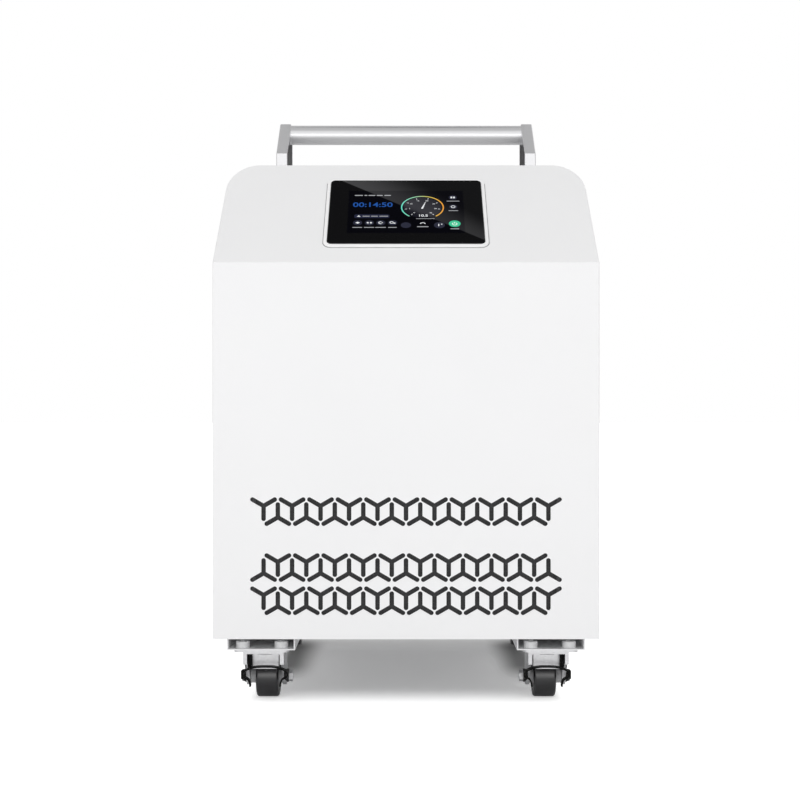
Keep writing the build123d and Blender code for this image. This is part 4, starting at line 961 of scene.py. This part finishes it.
class CHILLER_OT_stage(bpy.types.Operator):
    """Sets the pale floor, the backdrop, the soft lights and the camera"""

    bl_idname = "chiller.stage"
    bl_label = "Set the stage"

    room_grey = 0.705
    floor_half = 20.0
    floor_colour = (0.84, 0.84, 0.845)

    # Where the floor's painted shade and painted light begin and end, in metres from the chiller's middle
    clear_beside = (0.16, 0.2)
    clear_ahead = (0.122, 0.245)
    clear_behind = (0.2, 0.4)
    caster_inside = (0.112, 0.155)
    caster_outside = (0.165, 0.195)
    caster_ahead = (-0.11, 0.03)
    caster_behind = (0.16, 0.27)
    rear_half_from = (0.0, 0.3)
    rear_half_to = (0.24, 0.32)
    painted_caster_shade = 0.8
    painted_rear_half_shade = 0.38
    shadow_lift = 0.14
    clear_lift = 0.6

    card_height = 2.2

    # Name, place, size and power in watts
    lamps = (
        ("front_softbox", (-0.3, -3.3, 1.8), (7.0, 3.2), 32),
        ("low_strip", (0, -3.0, 0.5), (3.4, 0.75), 11),
        ("rear_softbox", (1.2, 3.2, 2.2), (2.4, 1.6), 10),
    )
    lamp_aim = 0.35

    camera_place = (0, -1.9015, 0.3588)
    lens = 64.1
    sensor = 36
    shift = -0.0075

    def execute(self, context):
        self.backdrop(context.scene)
        self.floor()
        self.lights()
        self.sheen_card()
        self.metal_cards()
        self.camera(context.scene)
        context.scene.view_settings.view_transform = "Standard"
        return {"FINISHED"}

    def backdrop(self, scene):
        world = bpy.data.worlds.new("studio")
        scene.world = world
        world.use_nodes = True
        nodes = world.node_tree.nodes
        links = world.node_tree.links
        nodes.clear()
        output = nodes.new("ShaderNodeOutputWorld")
        room = nodes.new("ShaderNodeBackground")
        room.inputs["Color"].default_value = (self.room_grey, self.room_grey, self.room_grey, 1)
        white = nodes.new("ShaderNodeBackground")
        white.inputs["Color"].default_value = (1, 1, 1, 1)
        path = nodes.new("ShaderNodeLightPath")
        mix = nodes.new("ShaderNodeMixShader")
        links.new(path.outputs["Is Camera Ray"], mix.inputs[0])
        links.new(room.outputs[0], mix.inputs[1])
        links.new(white.outputs[0], mix.inputs[2])
        links.new(mix.outputs[0], output.inputs["Surface"])

    def floor(self):
        mesh = bpy.data.meshes.new("floor")
        half = self.floor_half
        corners = [(-half, -half, 0), (half, -half, 0), (half, half, 0), (-half, half, 0)]
        mesh.from_pydata(corners, [], [(0, 1, 2, 3)])
        floor = bpy.data.objects.new("floor", mesh)
        bpy.context.scene.collection.objects.link(floor)
        finish = Finish("pale_floor", roughness=0.9, emission_strength=1.0)
        seen = finish.node("ShaderNodeLightPath", output="Is Camera Ray")
        x = finish.node("ShaderNodeSeparateXYZ", None, {0: finish.place}, "X")
        y = finish.node("ShaderNodeSeparateXYZ", None, {0: finish.place}, "Y")
        across = finish.maths("ABSOLUTE", x)
        aside = finish.rising(across, *self.clear_beside)
        ahead = finish.rising(0 - y, *self.clear_ahead)
        behind = finish.rising(y, *self.clear_behind)
        clear = finish.maths("MAXIMUM", aside, finish.maths("MAXIMUM", ahead, behind))
        # Painted shadow: the floor's colour, as the camera sees it, is darkened along the inner sides of the
        # casters.
        along_casters = finish.rising(across, *self.caster_inside)
        along_casters = along_casters * (1 - finish.rising(across, *self.caster_outside))
        beneath = finish.rising(y, *self.caster_ahead) * (1 - finish.rising(y, *self.caster_behind))
        # Painted shade: under the cabinet's rear half the floor's colour is darkened, to take off the light
        # that comes in from behind.
        rear_half = finish.rising(y, *self.rear_half_from) * (1 - finish.rising(y, *self.rear_half_to))
        rear_half = rear_half * (1 - aside)
        # Painted shade: both darkenings multiply the floor's colour as the camera sees it.
        painted_shade = 1 - along_casters * beneath * self.painted_caster_shade
        painted_shade = painted_shade * (1 - rear_half * self.painted_rear_half_shade)
        black, white = (0, 0, 0), (1, 1, 1)
        # Painted light: the floor glows for the camera, faintly in the painted shade and strongly where it is
        # clear of the cabinet, so the lamps' shadow stays only beneath it.
        lift = seen * (self.shadow_lift * painted_shade + clear * self.clear_lift)
        finish.set(
            base_color=finish.blend(seen, self.floor_colour, finish.blend(painted_shade, black, white)),
            emission_color=finish.blend(lift, black, white),
        )
        dress(floor, finish)

    def lights(self):
        for lamp in self.lamps:
            self.lamp(*lamp)

    def lamp(self, name, place, size, power):
        data = bpy.data.lights.new(name, "AREA")
        data.shape = "RECTANGLE"
        data.size, data.size_y = size
        data.energy = power
        lamp = bpy.data.objects.new(name, data)
        bpy.context.scene.collection.objects.link(lamp)
        lamp.location = place
        aim = Vector((place[0] * 0.2, 0, self.lamp_aim)) - Vector(place)
        lamp.rotation_euler = aim.to_track_quat("-Z", "Y").to_euler()

    def sheen_card(self):
        """A card overhead that only glossy surfaces see. It gives the glass its dark lower left and
        the sheen that starts on a slanted line and fades to the upper right."""
        start = Vector((-0.165, 0.423, self.card_height))
        end = Vector((0.179, 0.274, self.card_height))
        length = (end - start).length
        finish = Finish("card_sheen", base_color=(0, 0, 0), roughness=1.0, specular_ior_level=0.0)
        along = finish.node("ShaderNodeSeparateXYZ", None, {0: finish.place}, "X") / length
        across = finish.node("ShaderNodeSeparateXYZ", None, {0: finish.place}, "Y")
        fading = 1 - finish.rising(across / (0.10 - along * 0.05), 0.0, 1.0)
        sheen = finish.rising(across, 0.0, 0.0015) * (0.025 + (0.62 - along * 0.3) * fading)
        glow = finish.blend(0.03 + sheen, (0, 0, 0), (1, 1, 1.04))
        finish.set(emission_color=glow, emission_strength=1.0)
        left, right, near, far = -0.04, length + 0.04, -0.185, 0.165
        outline = [(left, near, 0), (right, near, 0), (right, far, 0), (left, far, 0)]
        card = self.card("overhead_card", outline, finish)
        card.location = start
        card.rotation_euler.z = math.atan2(end.y - start.y, end.x - start.x)

    def metal_cards(self):
        """Two cards that only glossy surfaces see: a dark one behind the chiller, for the dark edges
        of the bar and its brackets, and a bright one on the floor in front, for the bar's bright band."""
        dark = Finish("dark_card", base_color=(0.02, 0.02, 0.02), roughness=1.0)
        bright = Finish("bright_card", base_color=(0, 0, 0), roughness=1.0, emission_strength=1.15)
        bright.set(emission_color=(1, 1, 1))
        upright = [(-1.6, 1.6, 0.35), (1.6, 1.6, 0.35), (1.6, 1.6, 1.3), (-1.6, 1.6, 1.3)]
        self.card("dark_card", upright, dark)
        corners = [(-1.8, -3.0, 0.01), (1.8, -3.0, 0.01), (1.8, -1.2, 0.01), (-1.8, -1.2, 0.01)]
        self.card("bright_card", corners, bright)

    def card(self, name, corners, finish):
        mesh = bpy.data.meshes.new(name)
        mesh.from_pydata(corners, [], [range(len(corners))])
        card = bpy.data.objects.new(name, mesh)
        bpy.context.scene.collection.objects.link(card)
        dress(card, finish)
        for rays in ("camera", "diffuse", "transmission", "shadow", "volume_scatter"):
            setattr(card, f"visible_{rays}", False)
        return card

    def camera(self, scene):
        data = bpy.data.cameras.new("camera")
        data.lens = self.lens
        data.sensor_width = self.sensor
        data.shift_x = self.shift
        data.clip_start = 0.05
        data.clip_end = 60
        camera = bpy.data.objects.new("camera", data)
        scene.collection.objects.link(camera)
        camera.location = self.camera_place
        camera.rotation_euler = (math.radians(90), 0, 0)
        scene.camera = camera


OPERATORS = (
    CHILLER_OT_finishes,
    CHILLER_OT_screen_page,
    CHILLER_OT_rear_fittings,
    CHILLER_OT_bezel_gasket,
    CHILLER_OT_brake_blocks,
    CHILLER_OT_fan_guard,
    CHILLER_OT_stage,
)


class CHILLER_PT_sidebar(bpy.types.Panel):
    """Sizes, colours and building steps of the chiller"""

    bl_idname = "CHILLER_PT_sidebar"
    bl_label = "Ice bath chiller"
    bl_space_type = "VIEW_3D"
    bl_region_type = "UI"
    bl_category = "Chiller"

    def draw(self, context):
        for group in (context.scene.chiller_sizes, context.scene.chiller_colours):
            box = self.layout.box()
            for name in group.__annotations__:
                box.prop(group, name)
        for operator in OPERATORS:
            self.layout.operator(operator.bl_idname)


CLASSES = (ChillerColours, ChillerSizes, *OPERATORS, CHILLER_PT_sidebar)


def register():
    for cls in CLASSES:
        bpy.utils.register_class(cls)
    bpy.types.Scene.chiller_colours = bpy.props.PointerProperty(type=ChillerColours)
    bpy.types.Scene.chiller_sizes = bpy.props.PointerProperty(type=ChillerSizes)


def unregister():
    del bpy.types.Scene.chiller_sizes
    del bpy.types.Scene.chiller_colours
    for cls in reversed(CLASSES):
        bpy.utils.unregister_class(cls)


def main():
    register()
    for operator in OPERATORS:
        group, name = operator.bl_idname.split(".")
        getattr(getattr(bpy.ops, group), name)()


if __name__ == "__main__":
    main()
